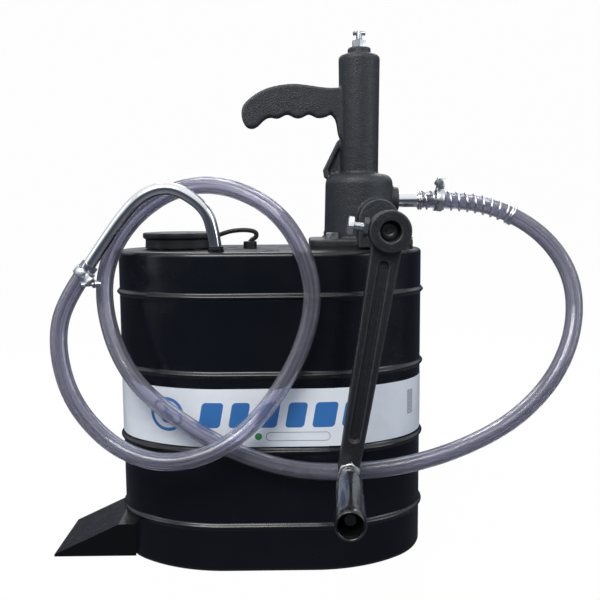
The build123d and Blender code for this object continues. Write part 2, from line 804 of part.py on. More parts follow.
ball(foot_seat_z, foot_seat_radius, foot_ball_radius, "foot_ball")

foot_ball_top = foot_seat_z + sqrt(foot_ball_radius**2 - foot_seat_radius**2) + foot_ball_radius
foot_bar_z = foot_ball_top + ball_lift + 0.5
with BuildPart() as foot_valve_cage:
    extrude(disc(level(pump_x, 0, foot_seat_z), tube_bore_radius),
            amount=foot_bar_z + foot_cage_bar - foot_seat_z)
    extrude(disc(level(pump_x, 0, foot_seat_z), foot_cage_bore),
            amount=foot_bar_z + foot_cage_bar - foot_seat_z, mode=Mode.SUBTRACT)
    with Locations((pump_x, 0, foot_bar_z + foot_cage_bar / 2)):
        Box(2 * foot_cage_bore + 2, 5, foot_cage_bar)
save(foot_valve_cage, "foot_valve_cage")

with BuildPart() as suction_strainer:
    extrude(disc(level(pump_x, 0, strainer_low), strainer_radius), amount=foot_body_low - strainer_low)
    extrude(disc(level(pump_x, 0, strainer_low + strainer_wall), strainer_radius - strainer_wall),
            amount=foot_body_low - strainer_low - strainer_wall, mode=Mode.SUBTRACT)
    with Locations((pump_x, 0, (strainer_low + foot_body_low) / 2)):
        with PolarLocations(strainer_radius, strainer_slots):
            Box(2 * strainer_wall + 2, 3, 6, mode=Mode.SUBTRACT)
save(suction_strainer, "suction_strainer")

# ---- bleed valve on top of the tower ----
spigot_top = tower_top + spigot_height
with BuildPart() as bleed_valve_body:
    extrude(hexagon(level(pump_x, 0, spigot_top), bleed_hex_flats), amount=bleed_hex_height)
    extrude(disc(level(pump_x, 0, spigot_top), bleed_thread_radius), amount=-bleed_thread_length)
    extrude(disc(level(pump_x, 0, spigot_top - bleed_thread_length),
                 bleed_stem_radius + running_clearance),
            amount=bleed_thread_length + bleed_hex_height, mode=Mode.SUBTRACT)
save(bleed_valve_body, "bleed_valve_body")

bar_z = bleed_top - 2 * bleed_bar_radius
with BuildPart() as bleed_screw:
    stem_low = spigot_top - bleed_thread_length + 1
    extrude(disc(level(pump_x, 0, stem_low), bleed_stem_radius), amount=bleed_top - stem_low)
    fillet(bleed_screw.faces().sort_by(Axis.Z)[-1].edges(), 1.5)
    extrude(disc(Plane(origin=(pump_x, 0, bar_z), z_dir=(1, 0, 0)), bleed_bar_radius),
            amount=bleed_bar_length / 2, both=True)
save(bleed_screw, "bleed_screw")

# ---- lever: hub, tapered fluted arm, set screw, lock nut ----
lean = radians(lever_lean)
arm_down = Vector(-sin(lean), 0, -cos(lean))     # from the shaft to the grip
arm_left = Vector(-cos(lean), 0, sin(lean))      # across the arm, to the side of the set screw
arm_front = arm_back - arm_depth
hub_front = lever_back - hub_depth
grip_centre = Vector(shaft_x, arm_front, shaft_z) + arm_down * arm_length


def lever_plane(y):
    """Facing -Y at the shaft's axis, with its x along the arm."""
    return Plane(origin=(shaft_x, y, shaft_z), x_dir=arm_down, z_dir=(0, -1, 0))


with BuildPart() as lever_arm:
    extrude(disc(lever_plane(lever_back), hub_radius), amount=hub_depth)
    with BuildSketch(lever_plane(arm_back)):
        with BuildLine():
            Polyline(
                (0, -arm_hub_width / 2),
                (arm_length, -arm_end_radius),
                (arm_length, arm_end_radius),
                (0, arm_hub_width / 2),
                close=True,
            )
        make_face()
        with Locations((arm_length, 0)):
            Circle(arm_end_radius)
    extrude(amount=arm_depth)
    # A shallow flute runs along the arm's front face.
    with BuildSketch(lever_plane(arm_front)):
        with Locations((arm_length / 2, 0)):
            SlotOverall(arm_length - 2 * hub_radius - 18, 2 * flute_radius)
    extrude(amount=-flute_depth, mode=Mode.SUBTRACT)
    extrude(disc(lever_plane(lever_back), shaft_radius), amount=hub_depth, mode=Mode.SUBTRACT)
    extrude(disc(lever_plane(shaft_front), hub_recess_radius), amount=shaft_front - hub_front,
            mode=Mode.SUBTRACT)
    hub_middle = (lever_back + shaft_front) / 2
    screw_plane = Plane(origin=Vector(shaft_x, hub_middle, shaft_z), z_dir=arm_left)
    extrude(disc(screw_plane, set_screw_radius), amount=hub_radius + 1, mode=Mode.SUBTRACT)
    spindle_plane = Plane(
        origin=grip_centre,
        z_dir=(-sin(radians(spindle_lean)), -cos(radians(spindle_lean)), 0),
    )
    extrude(disc(spindle_plane, spindle_radius), amount=arm_depth + 2, both=True, mode=Mode.SUBTRACT)
save(lever_arm, "lever_arm")

with BuildPart() as hub_set_screw:
    extrude(disc(screw_plane.offset(shaft_radius), set_screw_radius),
            amount=set_screw_reach - shaft_radius)
    extrude(hexagon(screw_plane.offset(set_screw_reach - set_screw_head_height), set_screw_head_flats),
            amount=set_screw_head_height)
save(hub_set_screw, "hub_set_screw")

with BuildPart() as set_screw_nut:
    extrude(hexagon(screw_plane.offset(hub_radius), set_screw_head_flats), amount=lock_nut_height)
    extrude(disc(screw_plane.offset(hub_radius), set_screw_radius), amount=lock_nut_height,
            mode=Mode.SUBTRACT)
save(set_screw_nut, "set_screw_nut")

# ---- grip spindle, nut and grip ----
grip_bore = spindle_radius + grip_clearance
with BuildPart() as grip_spindle:
    extrude(disc(spindle_plane.offset(-arm_depth + 1), spindle_radius),
            amount=arm_depth - 1 + grip_start + grip_length - 14)
save(grip_spindle, "grip_spindle")

with BuildPart() as spindle_nut:
    extrude(hexagon(spindle_plane.offset(0.8), spindle_nut_flats), amount=spindle_nut_height)
    extrude(disc(spindle_plane.offset(0.8), spindle_radius), amount=spindle_nut_height,
            mode=Mode.SUBTRACT)
save(spindle_nut, "spindle_nut")

with BuildPart() as grip_sleeve:
    grip_low = spindle_plane.offset(grip_start)
    with BuildSketch(grip_low):
        Circle(grip_neck_radius)
    with BuildSketch(grip_low.offset(0.6 * grip_length)):
        Circle(grip_end_radius - 1)
    loft()
    with BuildSketch(grip_low.offset(0.6 * grip_length)):
        Circle(grip_end_radius - 1)
    with BuildSketch(grip_low.offset(grip_length)):
        Circle(grip_end_radius)
    loft()
    fillet(grip_sleeve.faces().sort_by(Axis.Y)[0].edges(), 3)
    extrude(disc(grip_low, grip_bore), amount=grip_length - 12, mode=Mode.SUBTRACT)
save(grip_sleeve, "grip_sleeve")

# ---- outlet nipple: a turned tube screwed into the outlet boss, with a thinner barb in the hose ----


def facing_right(x, z):
    """An upright plane at y = 0, facing +X."""
    return Plane(origin=(x, 0, z), z_dir=(1, 0, 0))


with BuildPart() as outlet_nipple:
    nipple_low_x = outlet_boss_face - nipple_thread
    extrude(disc(facing_right(nipple_low_x, outlet_z), nipple_radius),
            amount=hose_start_x - nipple_low_x)
    extrude(disc(facing_right(hose_start_x, outlet_z), hose_bore_radius), amount=barb_length)
    extrude(disc(facing_right(nipple_low_x, outlet_z), nipple_bore),
            amount=hose_start_x + barb_length - nipple_low_x, mode=Mode.SUBTRACT)
save(outlet_nipple, "outlet_nipple")

# ---- hose ----
# Straight runs joined by arcs. It leaves the nipple to the right, loops down and in front of the drum,
# rises past the left end, arches over the top, comes down the front, passes over itself and ends on
# the spout's inlet.
hose_route = [
    (168.6, 0, 398.5),
    (204, 0, 398.5),
    (257, -6, 391),
    (306, -26, 361),
    (334, -44, 315),
    (333, -62, 262),
    (309, -80, 211),
    (264, -97, 169),
    (208, -107, 141),
    (145, -110, 122),
    (82, -110, 115),
    (20, -109, 118),
    (-38, -109, 138),
    (-90, -108, 169),
    (-137, -100, 206),
    (-165, -84, 249),
    (-178, -68, 302),
    (-169, -62, 346),
    (-141, -61, 385),
    (-97, -64, 413),
    (-46, -77, 416),
    (8, -100, 391),
    (39, -110, 345),
    (48, -111, 293),
    (31, -111, 236),
    (-2, -113, 184),
    (-35, -127, 155),
    (-73, -130, 137),
    (-119, -123, 131),
    (-166, -114, 149),
    (-207, -102, 193),
    (-223, -90, 249),
    (-215, -82, 295.2),
    (-186.4, -82, 332.5),
]
hose_arc_share = 0.48        # of the shorter run, taken up by each arc


def arc_radii(route):
    """Each corner's radius, as large as the shorter of its two runs allows, and its turn."""
    radii = []
    for before, corner, after in zip(route, route[1:], route[2:]):
        run_in = Vector(*corner) - Vector(*before)
        run_out = Vector(*after) - Vector(*corner)
        turn = run_in.get_angle(run_out)
        shorter = min(run_in.length, run_out.length)
        radii.append(hose_arc_share * shorter / tan(radians(turn) / 2))
    return radii


hose_radii = arc_radii(hose_route)
print("hose radii:", " ".join(f"{radius:.0f}" for radius in hose_radii))

guard_end = tuple((a + b) / 2 for a, b in zip(hose_route[2], hose_route[3]))


def tube_along(route, radii, outer, inner):
    """A round tube swept along straight runs and arcs."""
    with BuildPart() as tube:
        with BuildLine() as line:
            FilletPolyline(*route, radius=radii)
        with BuildSketch(Plane(origin=line.line @ 0, z_dir=line.line % 0)):
            Circle(outer)
            Circle(inner, mode=Mode.SUBTRACT)
        sweep()
    return tube, sum(edge.length for edge in line.edges())


fluid_hose, hose_length = tube_along(hose_route, hose_radii, hose_radius, hose_bore_radius)
hose_section = pi * (hose_radius**2 - hose_bore_radius**2)
print(f"hose length {hose_length:.1f}, volume over section {fluid_hose.part.volume / hose_section:.1f}")
save(fluid_hose, "fluid_hose")

# ---- spring guard: the outer shape of the wire coil round the hose's first stretch ----
spring_guard, guard_length = tube_along(
    [*hose_route[:3], guard_end], hose_radii[:2], guard_radius, hose_radius + guard_gap
)
save(spring_guard, "spring_guard")


def clamp(plane, inner, name):
    """A band clamp on a plane across the hose; its ear points along the plane's x."""
    band_outer = inner + clamp_thickness
    ear_top = band_outer + clamp_ear_height
    with BuildPart() as band:
        with BuildSketch(plane):
            Circle(band_outer)
            with Locations(((inner + ear_top) / 2, 0)):
                Rectangle(ear_top - inner, clamp_ear_thickness)
            Circle(inner, mode=Mode.SUBTRACT)
        extrude(amount=clamp_width / 2, both=True)
        screw_place = Plane(
            origin=plane.from_local_coords((ear_top - clamp_width / 2, 0, 0)), z_dir=plane.y_dir
        )
        extrude(disc(screw_place, clamp_screw_radius), amount=clamp_ear_thickness, both=True,
                mode=Mode.SUBTRACT)
    save(band, name)
    with BuildPart() as screw:
        extrude(disc(screw_place, clamp_screw_radius), amount=clamp_screw_length / 2, both=True)
        extrude(disc(screw_place.offset(clamp_ear_thickness / 2), 2 * clamp_screw_radius - 0.5),
                amount=3)
    save(screw, f"{name}_screw")


clamp(Plane(origin=(guard_clamp_x, 0, outlet_z), x_dir=(0, 0, 1), z_dir=(1, 0, 0)),
      guard_radius + 0.2, "guard_clamp")

# ---- spout: bent plated tube with a barb in the hose and a thin tip in the holder ----
inlet = Vector(-half_width - spout_inlet_beyond, spout_y, drum_height - spout_inlet_drop)
crown_z = inlet.Z + spout_rise
crown_x = inlet.X + spout_slope * spout_rise
collar_top = drum_height + holder_height + tip_collar_length
spout_route = [
    (inlet.X, spout_y, inlet.Z),
    (crown_x, spout_y, crown_z),
    (crown_x + spout_crown, spout_y, crown_z),
    (holder_x - 9.5, spout_y, collar_top + 34),
    (holder_x, spout_y, collar_top + 14),
    (holder_x, spout_y, collar_top),
]
spout_out = Vector(*spout_route[1]) - inlet
with BuildPart() as spout_tube:
    with BuildLine() as spout_line:
        FilletPolyline(*spout_route, radius=arc_radii(spout_route))
    with BuildSketch(Plane(origin=spout_line.line @ 0, z_dir=spout_line.line % 0)):
        Circle(spout_radius)
        Circle(spout_bore, mode=Mode.SUBTRACT)
    sweep()
    with BuildSketch(Plane(origin=inlet, z_dir=spout_out * -1)):
        Circle(hose_bore_radius)
        Circle(spout_bore, mode=Mode.SUBTRACT)
    extrude(amount=spout_barb)
save(spout_tube, "spout_tube")

save(ring(level(holder_x, spout_y, collar_top - tip_length - tip_collar_length), tip_radius,
          tip_bore, tip_length + tip_collar_length), "spout_tip")
save(ring(level(holder_x, spout_y, drum_height + holder_height), tip_collar_radius, tip_radius,
          tip_collar_length), "tip_collar")

clamp(Plane(origin=inlet - spout_out.normalized() * 11, x_dir=(spout_out.Z, 0, -spout_out.X),
            z_dir=spout_out).rotated((0, 0, spout_clamp_turn)),
      hose_radius + 0.1, "spout_clamp")
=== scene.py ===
import math

import bmesh
import bpy
import numpy as np
from mathutils import Matrix, Vector


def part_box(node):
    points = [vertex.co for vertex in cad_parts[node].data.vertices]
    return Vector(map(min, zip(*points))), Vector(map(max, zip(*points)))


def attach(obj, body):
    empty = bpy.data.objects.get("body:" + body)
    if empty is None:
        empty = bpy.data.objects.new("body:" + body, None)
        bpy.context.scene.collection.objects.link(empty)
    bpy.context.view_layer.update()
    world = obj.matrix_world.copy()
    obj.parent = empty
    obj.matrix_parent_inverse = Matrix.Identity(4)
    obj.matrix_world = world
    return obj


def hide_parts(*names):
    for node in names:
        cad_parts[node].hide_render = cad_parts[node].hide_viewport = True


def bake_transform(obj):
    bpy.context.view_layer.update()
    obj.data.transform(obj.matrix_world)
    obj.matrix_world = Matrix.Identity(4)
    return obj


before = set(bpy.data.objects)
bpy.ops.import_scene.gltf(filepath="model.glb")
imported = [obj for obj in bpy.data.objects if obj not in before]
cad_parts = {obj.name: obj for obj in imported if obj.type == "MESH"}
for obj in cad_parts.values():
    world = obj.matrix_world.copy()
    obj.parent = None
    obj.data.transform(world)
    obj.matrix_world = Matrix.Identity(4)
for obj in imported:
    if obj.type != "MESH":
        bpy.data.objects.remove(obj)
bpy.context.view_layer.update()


# ---- Studio -------------------------------------------------------------------------------------
# A white floor and ground, one broad soft box above and in front, weaker ones to both sides and a long
# one behind for the rims. Gloss sees a dark room under a bright ceiling, and the hose's walls a dim one.

def link(tree, kind, inputs=None, **settings):
    """Adds one shader node, sets its options, and fills its inputs with numbers or other sockets."""
    node = tree.nodes.new(kind)
    for name, value in settings.items():
        setattr(node, name, value)
    for key, value in (inputs or {}).items():
        if isinstance(value, bpy.types.NodeSocket):
            tree.links.new(value, node.inputs[key])
        else:
            node.inputs[key].default_value = value
    return node


floor_mesh = bpy.data.meshes.new("floor")
floor_mesh.from_pydata([(-9, -6, 0), (9, -6, 0), (9, 12, 0), (-9, 12, 0)], [], [(0, 1, 2, 3)])
floor = bpy.data.objects.new("floor", floor_mesh)
bpy.context.scene.collection.objects.link(floor)
floor_paint = bpy.data.materials.new("floor_paint")
floor_paint.use_nodes = True
floor_shader = floor_paint.node_tree.nodes["Principled BSDF"]
for socket, value in (("Base Color", (0.02, 0.02, 0.02, 1)), ("Roughness", 0.9), ("Specular IOR Level", 0.0),
                      ("Emission Color", (1, 1, 1, 1)), ("Emission Strength", 0.98)):
    floor_shader.inputs[socket].default_value = value
floor_mesh.materials.append(floor_paint)
floor.visible_glossy = floor.visible_diffuse = floor.visible_transmission = False

room = bpy.data.worlds.new("room")
bpy.context.scene.world = room
room.use_nodes = True
tree = room.node_tree
tree.nodes.clear()
seen = link(tree, "ShaderNodeLightPath")
direction = link(tree, "ShaderNodeSeparateXYZ", {0: link(tree, "ShaderNodeTexCoord").outputs["Generated"]})


def spread(tree, value, low, high, least=0.0, most=1.0):
    """A number from low to high stretched to run from least to most, and held at its ends beyond."""
    return link(tree, "ShaderNodeMapRange", {"Value": value, "From Min": low, "From Max": high,
                                             "To Min": least, "To Max": most}).outputs[0]


def ramp(tree, source, stops):
    """A grey or tinted ramp over a number: pairs of a place from 0 to 1 and a colour."""
    node = link(tree, "ShaderNodeValToRGB", {0: source})
    while len(node.color_ramp.elements) < len(stops):
        node.color_ramp.elements.new(0.5)
    for element, (where, colour) in zip(node.color_ramp.elements, stops):
        element.position, element.color = where, (*colour, 1)
    return node.outputs[0]


# By height, from straight down to straight up: a lit floor, a dark room at eye level, a bright ceiling.
mirrored = ramp(tree, spread(tree, direction.outputs["Z"], -1.0, 1.0), [
    (0.0, (0.20, 0.21, 0.24)), (0.30, (0.075, 0.082, 0.105)), (0.46, (0.048, 0.055, 0.072)),
    (0.57, (0.070, 0.080, 0.105)), (0.68, (0.72, 0.76, 0.82)), (1.0, (1.0, 1.0, 1.0))])
# By how nearly straight back, from sideways to straight back: dim, with one bright stripe and a bright end.
seen_through = ramp(tree, spread(tree, direction.outputs["Y"], 0.0, 1.0), [
    (0.0, (0.03, 0.03, 0.038)), (0.30, (0.045, 0.045, 0.055)), (0.42, (0.50, 0.50, 0.54)),
    (0.52, (0.05, 0.05, 0.06)), (0.86, (0.070, 0.070, 0.088)), (0.96, (0.15, 0.15, 0.18)),
    (1.0, (0.34, 0.335, 0.39))])
both = None
for rays, colour, strength in (
    (None, (0.80, 0.87, 1, 1), 0.34),
    ("Is Glossy Ray", mirrored, 1.0),
    ("Is Transmission Ray", seen_through, 1.0),
    ("Is Camera Ray", (1, 1, 1, 1), 0.985),
):
    light = link(tree, "ShaderNodeBackground", {"Color": colour, "Strength": strength})
    both = light if both is None else link(tree, "ShaderNodeMixShader", {
        0: seen.outputs[rays], 1: both.outputs[0], 2: light.outputs[0]})
link(tree, "ShaderNodeOutputWorld", {0: both.outputs[0]})

aim = Vector((0.02, 0.0, 0.28))
for name, place, size, watts, tint in (
    ("softbox_front", (-0.55, -1.35, 1.75), (1.3, 0.8), 33, (1.0, 0.98, 0.96)),
    ("softbox_right", (1.9, -0.9, 1.0), (0.7, 1.4), 13, (0.93, 0.96, 1.0)),
    ("softbox_left", (-1.9, -0.6, 0.9), (0.6, 1.4), 4, (0.93, 0.96, 1.0)),
    ("softbox_rim", (0.2, 1.6, 1.6), (1.8, 0.5), 16, (1.0, 1.0, 1.0)),
):
    data = bpy.data.lights.new(name, "AREA")
    data.shape, data.size, data.size_y = "RECTANGLE", *size
    data.energy, data.color = watts, tint
    lamp = bpy.data.objects.new(name, data)
    lamp.location = place
    lamp.rotation_euler = (aim - lamp.location).to_track_quat("-Z", "Y").to_euler()
    bpy.context.scene.collection.objects.link(lamp)

# The camera stands 0.9 m in front of the pump, just above the drum's top, and looks a little down.
turn, dip, tilt = (math.radians(a) for a in (-0.548, 6.539, -0.412))
back = Vector((math.sin(turn) * math.cos(dip), -math.cos(turn) * math.cos(dip), math.sin(dip)))
right = Vector((math.cos(turn), math.sin(turn), 0))
up = back.cross(right)
camera_right = right * math.cos(tilt) + up * math.sin(tilt)
camera_up = up * math.cos(tilt) - right * math.sin(tilt)
lens = bpy.data.cameras.new("camera")
lens.sensor_width, lens.lens = 36, 47.3
lens.clip_start, lens.clip_end = 0.05, 50
eye = Vector((0.02516, -0.90805, 0.38851))
camera = bpy.data.objects.new("camera", lens)
camera.matrix_world = Matrix((
    (camera_right.x, camera_up.x, back.x, eye.x),
    (camera_right.y, camera_up.y, back.y, eye.y),
    (camera_right.z, camera_up.z, back.z, eye.z),
    (0, 0, 0, 1),
))
bpy.context.scene.collection.objects.link(camera)
bpy.context.scene.camera = camera
bpy.context.scene.view_settings.view_transform = "Standard"


# ---- Fluid hose ---------------------------------------------------------------------------------
# 1.8 m of clear soft PVC tube, 18 mm outside and 12 mm inside. It is pushed on the pump's barb,
# hangs down the right side, crosses the drum's front, makes one loop and ends on the spout.

def lay_line(name, route):
    """A smooth line through space: a NURBS of order 3 pulled along by the route's points."""
    curve = bpy.data.curves.new(name, "CURVE")
    curve.dimensions = "3D"
    spline = curve.splines.new("NURBS")
    spline.points.add(len(route) - 1)
    spline.points.foreach_set("co", np.c_[np.array(route), np.ones(len(route))].ravel())
    spline.order_u = 3
    spline.use_endpoint_u = True
    spline.resolution_u = 12
    thread = bpy.data.objects.new(name, curve)
    line = bpy.data.meshes.new_from_object(thread)
    points = np.empty(3 * len(line.vertices))
    line.vertices.foreach_get("co", points)
    bpy.data.objects.remove(thread)
    return points.reshape(-1, 3)


def along(points, steps):
    """Points at even steps along a line, with the distance of each from the start."""
    run = np.r_[0, np.cumsum(np.linalg.norm(np.diff(points, axis=0), axis=1))]
    at = np.linspace(0, run[-1], steps) if np.ndim(steps) == 0 else np.asarray(steps)
    return np.stack([np.interp(at, run, points[:, i]) for i in range(3)], axis=1), at


def frames(points, side=(0, 1, 0)):
    """Tangent, first and second normal along a line; the first normal is tangent cross side."""
    tangent = np.gradient(points, axis=0)
    tangent /= np.linalg.norm(tangent, axis=1, keepdims=True)
    first = np.cross(tangent, np.asarray(side, float))
    first /= np.linalg.norm(first, axis=1, keepdims=True)
    return tangent, first, np.cross(tangent, first)


def build_piece(name, grids, sharp=40.0, ring=True, loop=False):
    """One mesh from grids of points, rows by columns. ring joins the last column to the first, loop
    joins the last row to the first. Equal points are merged, faces turn outwards, and edges that
    turn by more than sharp degrees stay crisp."""
    places, faces, count = [], [], 0
    for grid in grids:
        rows, columns = grid.shape[:2]
        row = np.arange(rows if loop else rows - 1)[:, None]
        column = np.arange(columns if ring else columns - 1)[None, :]
        next_row, next_column = (row + 1) % rows, (column + 1) % columns
        faces.append(np.stack([row * columns + column, row * columns + next_column,
                               next_row * columns + next_column, next_row * columns + column],
                              axis=-1).reshape(-1, 4) + count)
        places.append(grid.reshape(-1, 3))
        count += rows * columns
    mesh = bpy.data.meshes.new(name)
    mesh.from_pydata(np.concatenate(places).tolist(), [], np.concatenate(faces).tolist())
    work = bmesh.new()
    work.from_mesh(mesh)
    bmesh.ops.remove_doubles(work, verts=work.verts, dist=1e-6)
    bmesh.ops.dissolve_degenerate(work, edges=work.edges, dist=1e-7)
    bmesh.ops.recalc_face_normals(work, faces=work.faces)
    limit = math.radians(sharp)
    for edge in work.edges:
        edge.smooth = edge.calc_face_angle(0) < limit
    for face in work.faces:
        face.smooth = True
    work.to_mesh(mesh)
    work.free()
    piece = bpy.data.objects.new(name, mesh)
    bpy.context.scene.collection.objects.link(piece)
    return piece


def tube_grid(points, radius, columns, side=(0, 1, 0)):
    """Circles of the given radius, one at each point of a line, square to it."""
    _, first, second = frames(points, side)
    angle = np.linspace(0, 2 * np.pi, columns, endpoint=False)
    radius = np.broadcast_to(np.asarray(radius, float), len(points))[:, None, None]
    return points[:, None] + radius * (first[:, None] * np.cos(angle)[:, None]
                                       + second[:, None] * np.sin(angle)[:, None])


def pipe_grid(points, outside, bore, columns):
    """The wall of a pipe as one closed skin: circles out along the outside, then back along the bore."""
    return np.concatenate([tube_grid(points, outside, columns), tube_grid(points, bore, columns)[::-1]])


def new_material(name):
    """An empty material with its Principled shader and output."""
    material = bpy.data.materials.new(name)
    material.use_nodes = True
    nodes = material.node_tree
    nodes.nodes.clear()
    shader = link(nodes, "ShaderNodeBsdfPrincipled")
    link(nodes, "ShaderNodeOutputMaterial", {0: shader.outputs[0]})
    return material, nodes, shader


def new_group(name, numbers, outputs):
    """An empty shader group: its inputs with their defaults, its outputs, and object coordinates."""
    group = bpy.data.node_groups.new(name, "ShaderNodeTree")
    for label, value in numbers.items():
        socket = group.interface.new_socket(label, in_out="INPUT", socket_type="NodeSocketFloat")
        socket.default_value = value
    for label, kind in outputs.items():
        group.interface.new_socket(label, in_out="OUTPUT", socket_type=f"NodeSocket{kind}")
    entry, result = link(group, "NodeGroupInput"), link(group, "NodeGroupOutput")
    return group, entry.outputs, result.inputs, link(group, "ShaderNodeTexCoord").outputs["Object"]


def use_group(tree, group, **numbers):
    """Places a shader group in a material with its own values."""
    node = link(tree, "ShaderNodeGroup", node_tree=group)
    for label, value in numbers.items():
        node.inputs[label].default_value = value
    return node.outputs


def drive(tree, socket, source):
    """Joins an output to an input."""
    tree.links.new(source, socket)


def bump(tree, shader, height, depth, strength=1.0):
    """Gives a shader its relief, depth in metres from low to high."""
    relief = link(tree, "ShaderNodeBump", {"Strength": strength, "Distance": depth, "Height": height})
    drive(tree, shader.inputs["Normal"], relief.outputs[0])


def noise(tree, vector, scale, detail, **more):
    """Cloudy noise from 0 to 1."""
    return link(tree, "ShaderNodeTexNoise", {"Vector": vector, "Scale": scale, "Detail": detail,
                                             **more}).outputs[0]


def blend_colour(tree, factor, first, second):
    """A colour between two by a mask; each is three numbers or another node's output."""
    first, second = (c if isinstance(c, bpy.types.NodeSocket) else (*c, 1) for c in (first, second))
    return link(tree, "ShaderNodeMix", {0: factor, 6: first, 7: second}, data_type="RGBA").outputs[2]


def colour_by(tree, shader, factor, first, second):
    """A shader's colour runs between two by a mask."""
    drive(tree, shader.inputs["Base Color"], blend_colour(tree, factor, first, second))


def finish(piece, material, body=None, stands_for=()):
    """Gives a piece its material, and a new piece its slot, its body and the CAD nodes it stands for."""
    piece.data.materials.clear()
    piece.data.materials.append(material)
    if body:
        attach(piece, body)
    if stands_for:
        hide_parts(*stands_for)
    return piece


# Handling marks: faint smears and scuffs that dull a glossy surface here and there.
smears, given, result, place = new_group("smears", {"Scale": 18.0, "Least": 0.0, "Most": 1.0},
                                         {"Mask": "Float"})
broad = noise(smears, place, given["Scale"], 5.0, Roughness=0.6, Distortion=0.8)
drive(smears, result["Mask"], spread(smears, broad, 0.38, 0.68, given["Least"], given["Most"]))

hose_bore, hose_outside, hose_columns = 0.006, 0.009, 32
outlet = (0.1686, 0, 0.3985)
hose_route = [
    outlet, (0.204, 0, 0.3985), (0.257, -0.006, 0.391), (0.306, -0.026, 0.361),
    (0.334, -0.044, 0.315), (0.333, -0.062, 0.262), (0.309, -0.080, 0.211), (0.264, -0.097, 0.169),
    (0.208, -0.107, 0.141), (0.145, -0.110, 0.122), (0.082, -0.110, 0.115), (0.020, -0.109, 0.118),
    (-0.038, -0.109, 0.138), (-0.090, -0.108, 0.169), (-0.137, -0.100, 0.206), (-0.165, -0.084, 0.249),
    (-0.178, -0.068, 0.302), (-0.169, -0.062, 0.346), (-0.141, -0.061, 0.385), (-0.097, -0.064, 0.413),
    (-0.046, -0.077, 0.416), (0.008, -0.100, 0.391), (0.039, -0.110, 0.345), (0.048, -0.111, 0.293),
    (0.031, -0.111, 0.236), (-0.002, -0.113, 0.184), (-0.035, -0.127, 0.155), (-0.073, -0.130, 0.137),
    (-0.119, -0.123, 0.131), (-0.166, -0.114, 0.149), (-0.207, -0.102, 0.193), (-0.223, -0.090, 0.249),
    (-0.215, -0.082, 0.2952), (-0.1864, -0.082, 0.3325),
]
hose_line, hose_run = along(lay_line("hose_line", hose_route), 620)
hose = build_piece("clear_hose", [pipe_grid(hose_line, hose_outside, hose_bore, hose_columns)], 60, loop=True)
clear_pvc, tree, shader = new_material("clear_pvc")
shader.inputs["Transmission Weight"].default_value = 0.90
shader.inputs["IOR"].default_value = 1.42
marks = use_group(tree, smears, Scale=22.0, Least=0.03, Most=0.13)
drive(tree, shader.inputs["Roughness"], marks["Mask"])
# Drawing lines run along the tube: noise over the turn round it and, far slower, over the run along it.
number = np.arange(len(hose.data.vertices))
turn_round = number % hose_columns * (2 * np.pi / hose_columns)
run_along = number // hose_columns % len(hose_line) * (hose_run[-1] / len(hose_line))
hose.data.attributes.new("drawn", "FLOAT_VECTOR", "POINT").data.foreach_set(
    "vector", np.c_[np.cos(turn_round), np.sin(turn_round), run_along].ravel())
drawn = link(tree, "ShaderNodeAttribute", attribute_name="drawn")
lines = link(tree, "ShaderNodeMapping", {"Vector": drawn.outputs["Vector"], "Scale": (3.2, 3.2, 2.5)})
lines = noise(tree, lines.outputs[0], 1.0, 4.0, Roughness=0.6)
colour_by(tree, shader, spread(tree, lines, 0.42, 0.57), (0.50, 0.49, 0.65), (0.93, 0.94, 1.0))
bump(tree, shader, lines, 0.0010, 0.30)
finish(hose, clear_pvc, "tank", ["fluid_hose"])


# ---- Spring guard, clamps and outlet -------------------------------------------------------------
# The plated outlet tube screws into the pump. A wire spring keeps the hose from kinking: open coils
# with two closed ones at each end. Both ends of the hose have a band clamp, a strip drawn shut by a
# screw through its folded ear. The far end is pushed on the spout, a bent plated tube.

wire, guard_radius = 0.0011, 0.0101
guard_length, closed_near, closed_far = 0.112, 0.0058, 0.0060
wire_end = 0.0002
guard_s = np.linspace(0.0004, guard_length, 1500)
closed, opened = 2.35 * wire, 0.0095
pitch = np.where((guard_s < closed_near) | (guard_s > guard_length - closed_far), closed, opened)
pitch = np.convolve(np.pad(pitch, 20, "edge"), np.ones(41) / 41, "valid")
wound = 2 * np.pi * np.cumsum(np.gradient(guard_s) / pitch)
core, _ = along(hose_line, guard_s)
_, first, second = frames(core)
coil = core + guard_radius * (first * np.cos(wound)[:, None] + second * np.sin(wound)[:, None])
outward = (coil - core) / guard_radius
coil_tangent = np.gradient(coil, axis=0)
coil_tangent /= np.linalg.norm(coil_tangent, axis=1, keepdims=True)
coil_side = np.cross(coil_tangent, outward)
coil_side /= np.linalg.norm(coil_side, axis=1, keepdims=True)
angle = np.linspace(0, 2 * np.pi, 8, endpoint=False)
taper = wire * np.clip(np.minimum(guard_s - guard_s[0], guard_s[-1] - guard_s) / wire_end, 0.02, 1)
guard = build_piece("guard_spring", [coil[:, None] + taper[:, None, None] * (
    outward[:, None] * np.cos(angle)[:, None] + coil_side[:, None] * np.sin(angle)[:, None])], 60)

# Plated steel: bright, with fine handling scratches and a few dull spots.
plating, given, result, place = new_group("plating", {"Scratches": 1.0, "Dull": 1.0},
                                          {"Roughness": "Float", "Height": "Float"})


def reckon(tree, kind, *values):
    """One arithmetic node over numbers or other nodes' outputs."""
    return link(tree, "ShaderNodeMath", dict(enumerate(values)), operation=kind).outputs[0]


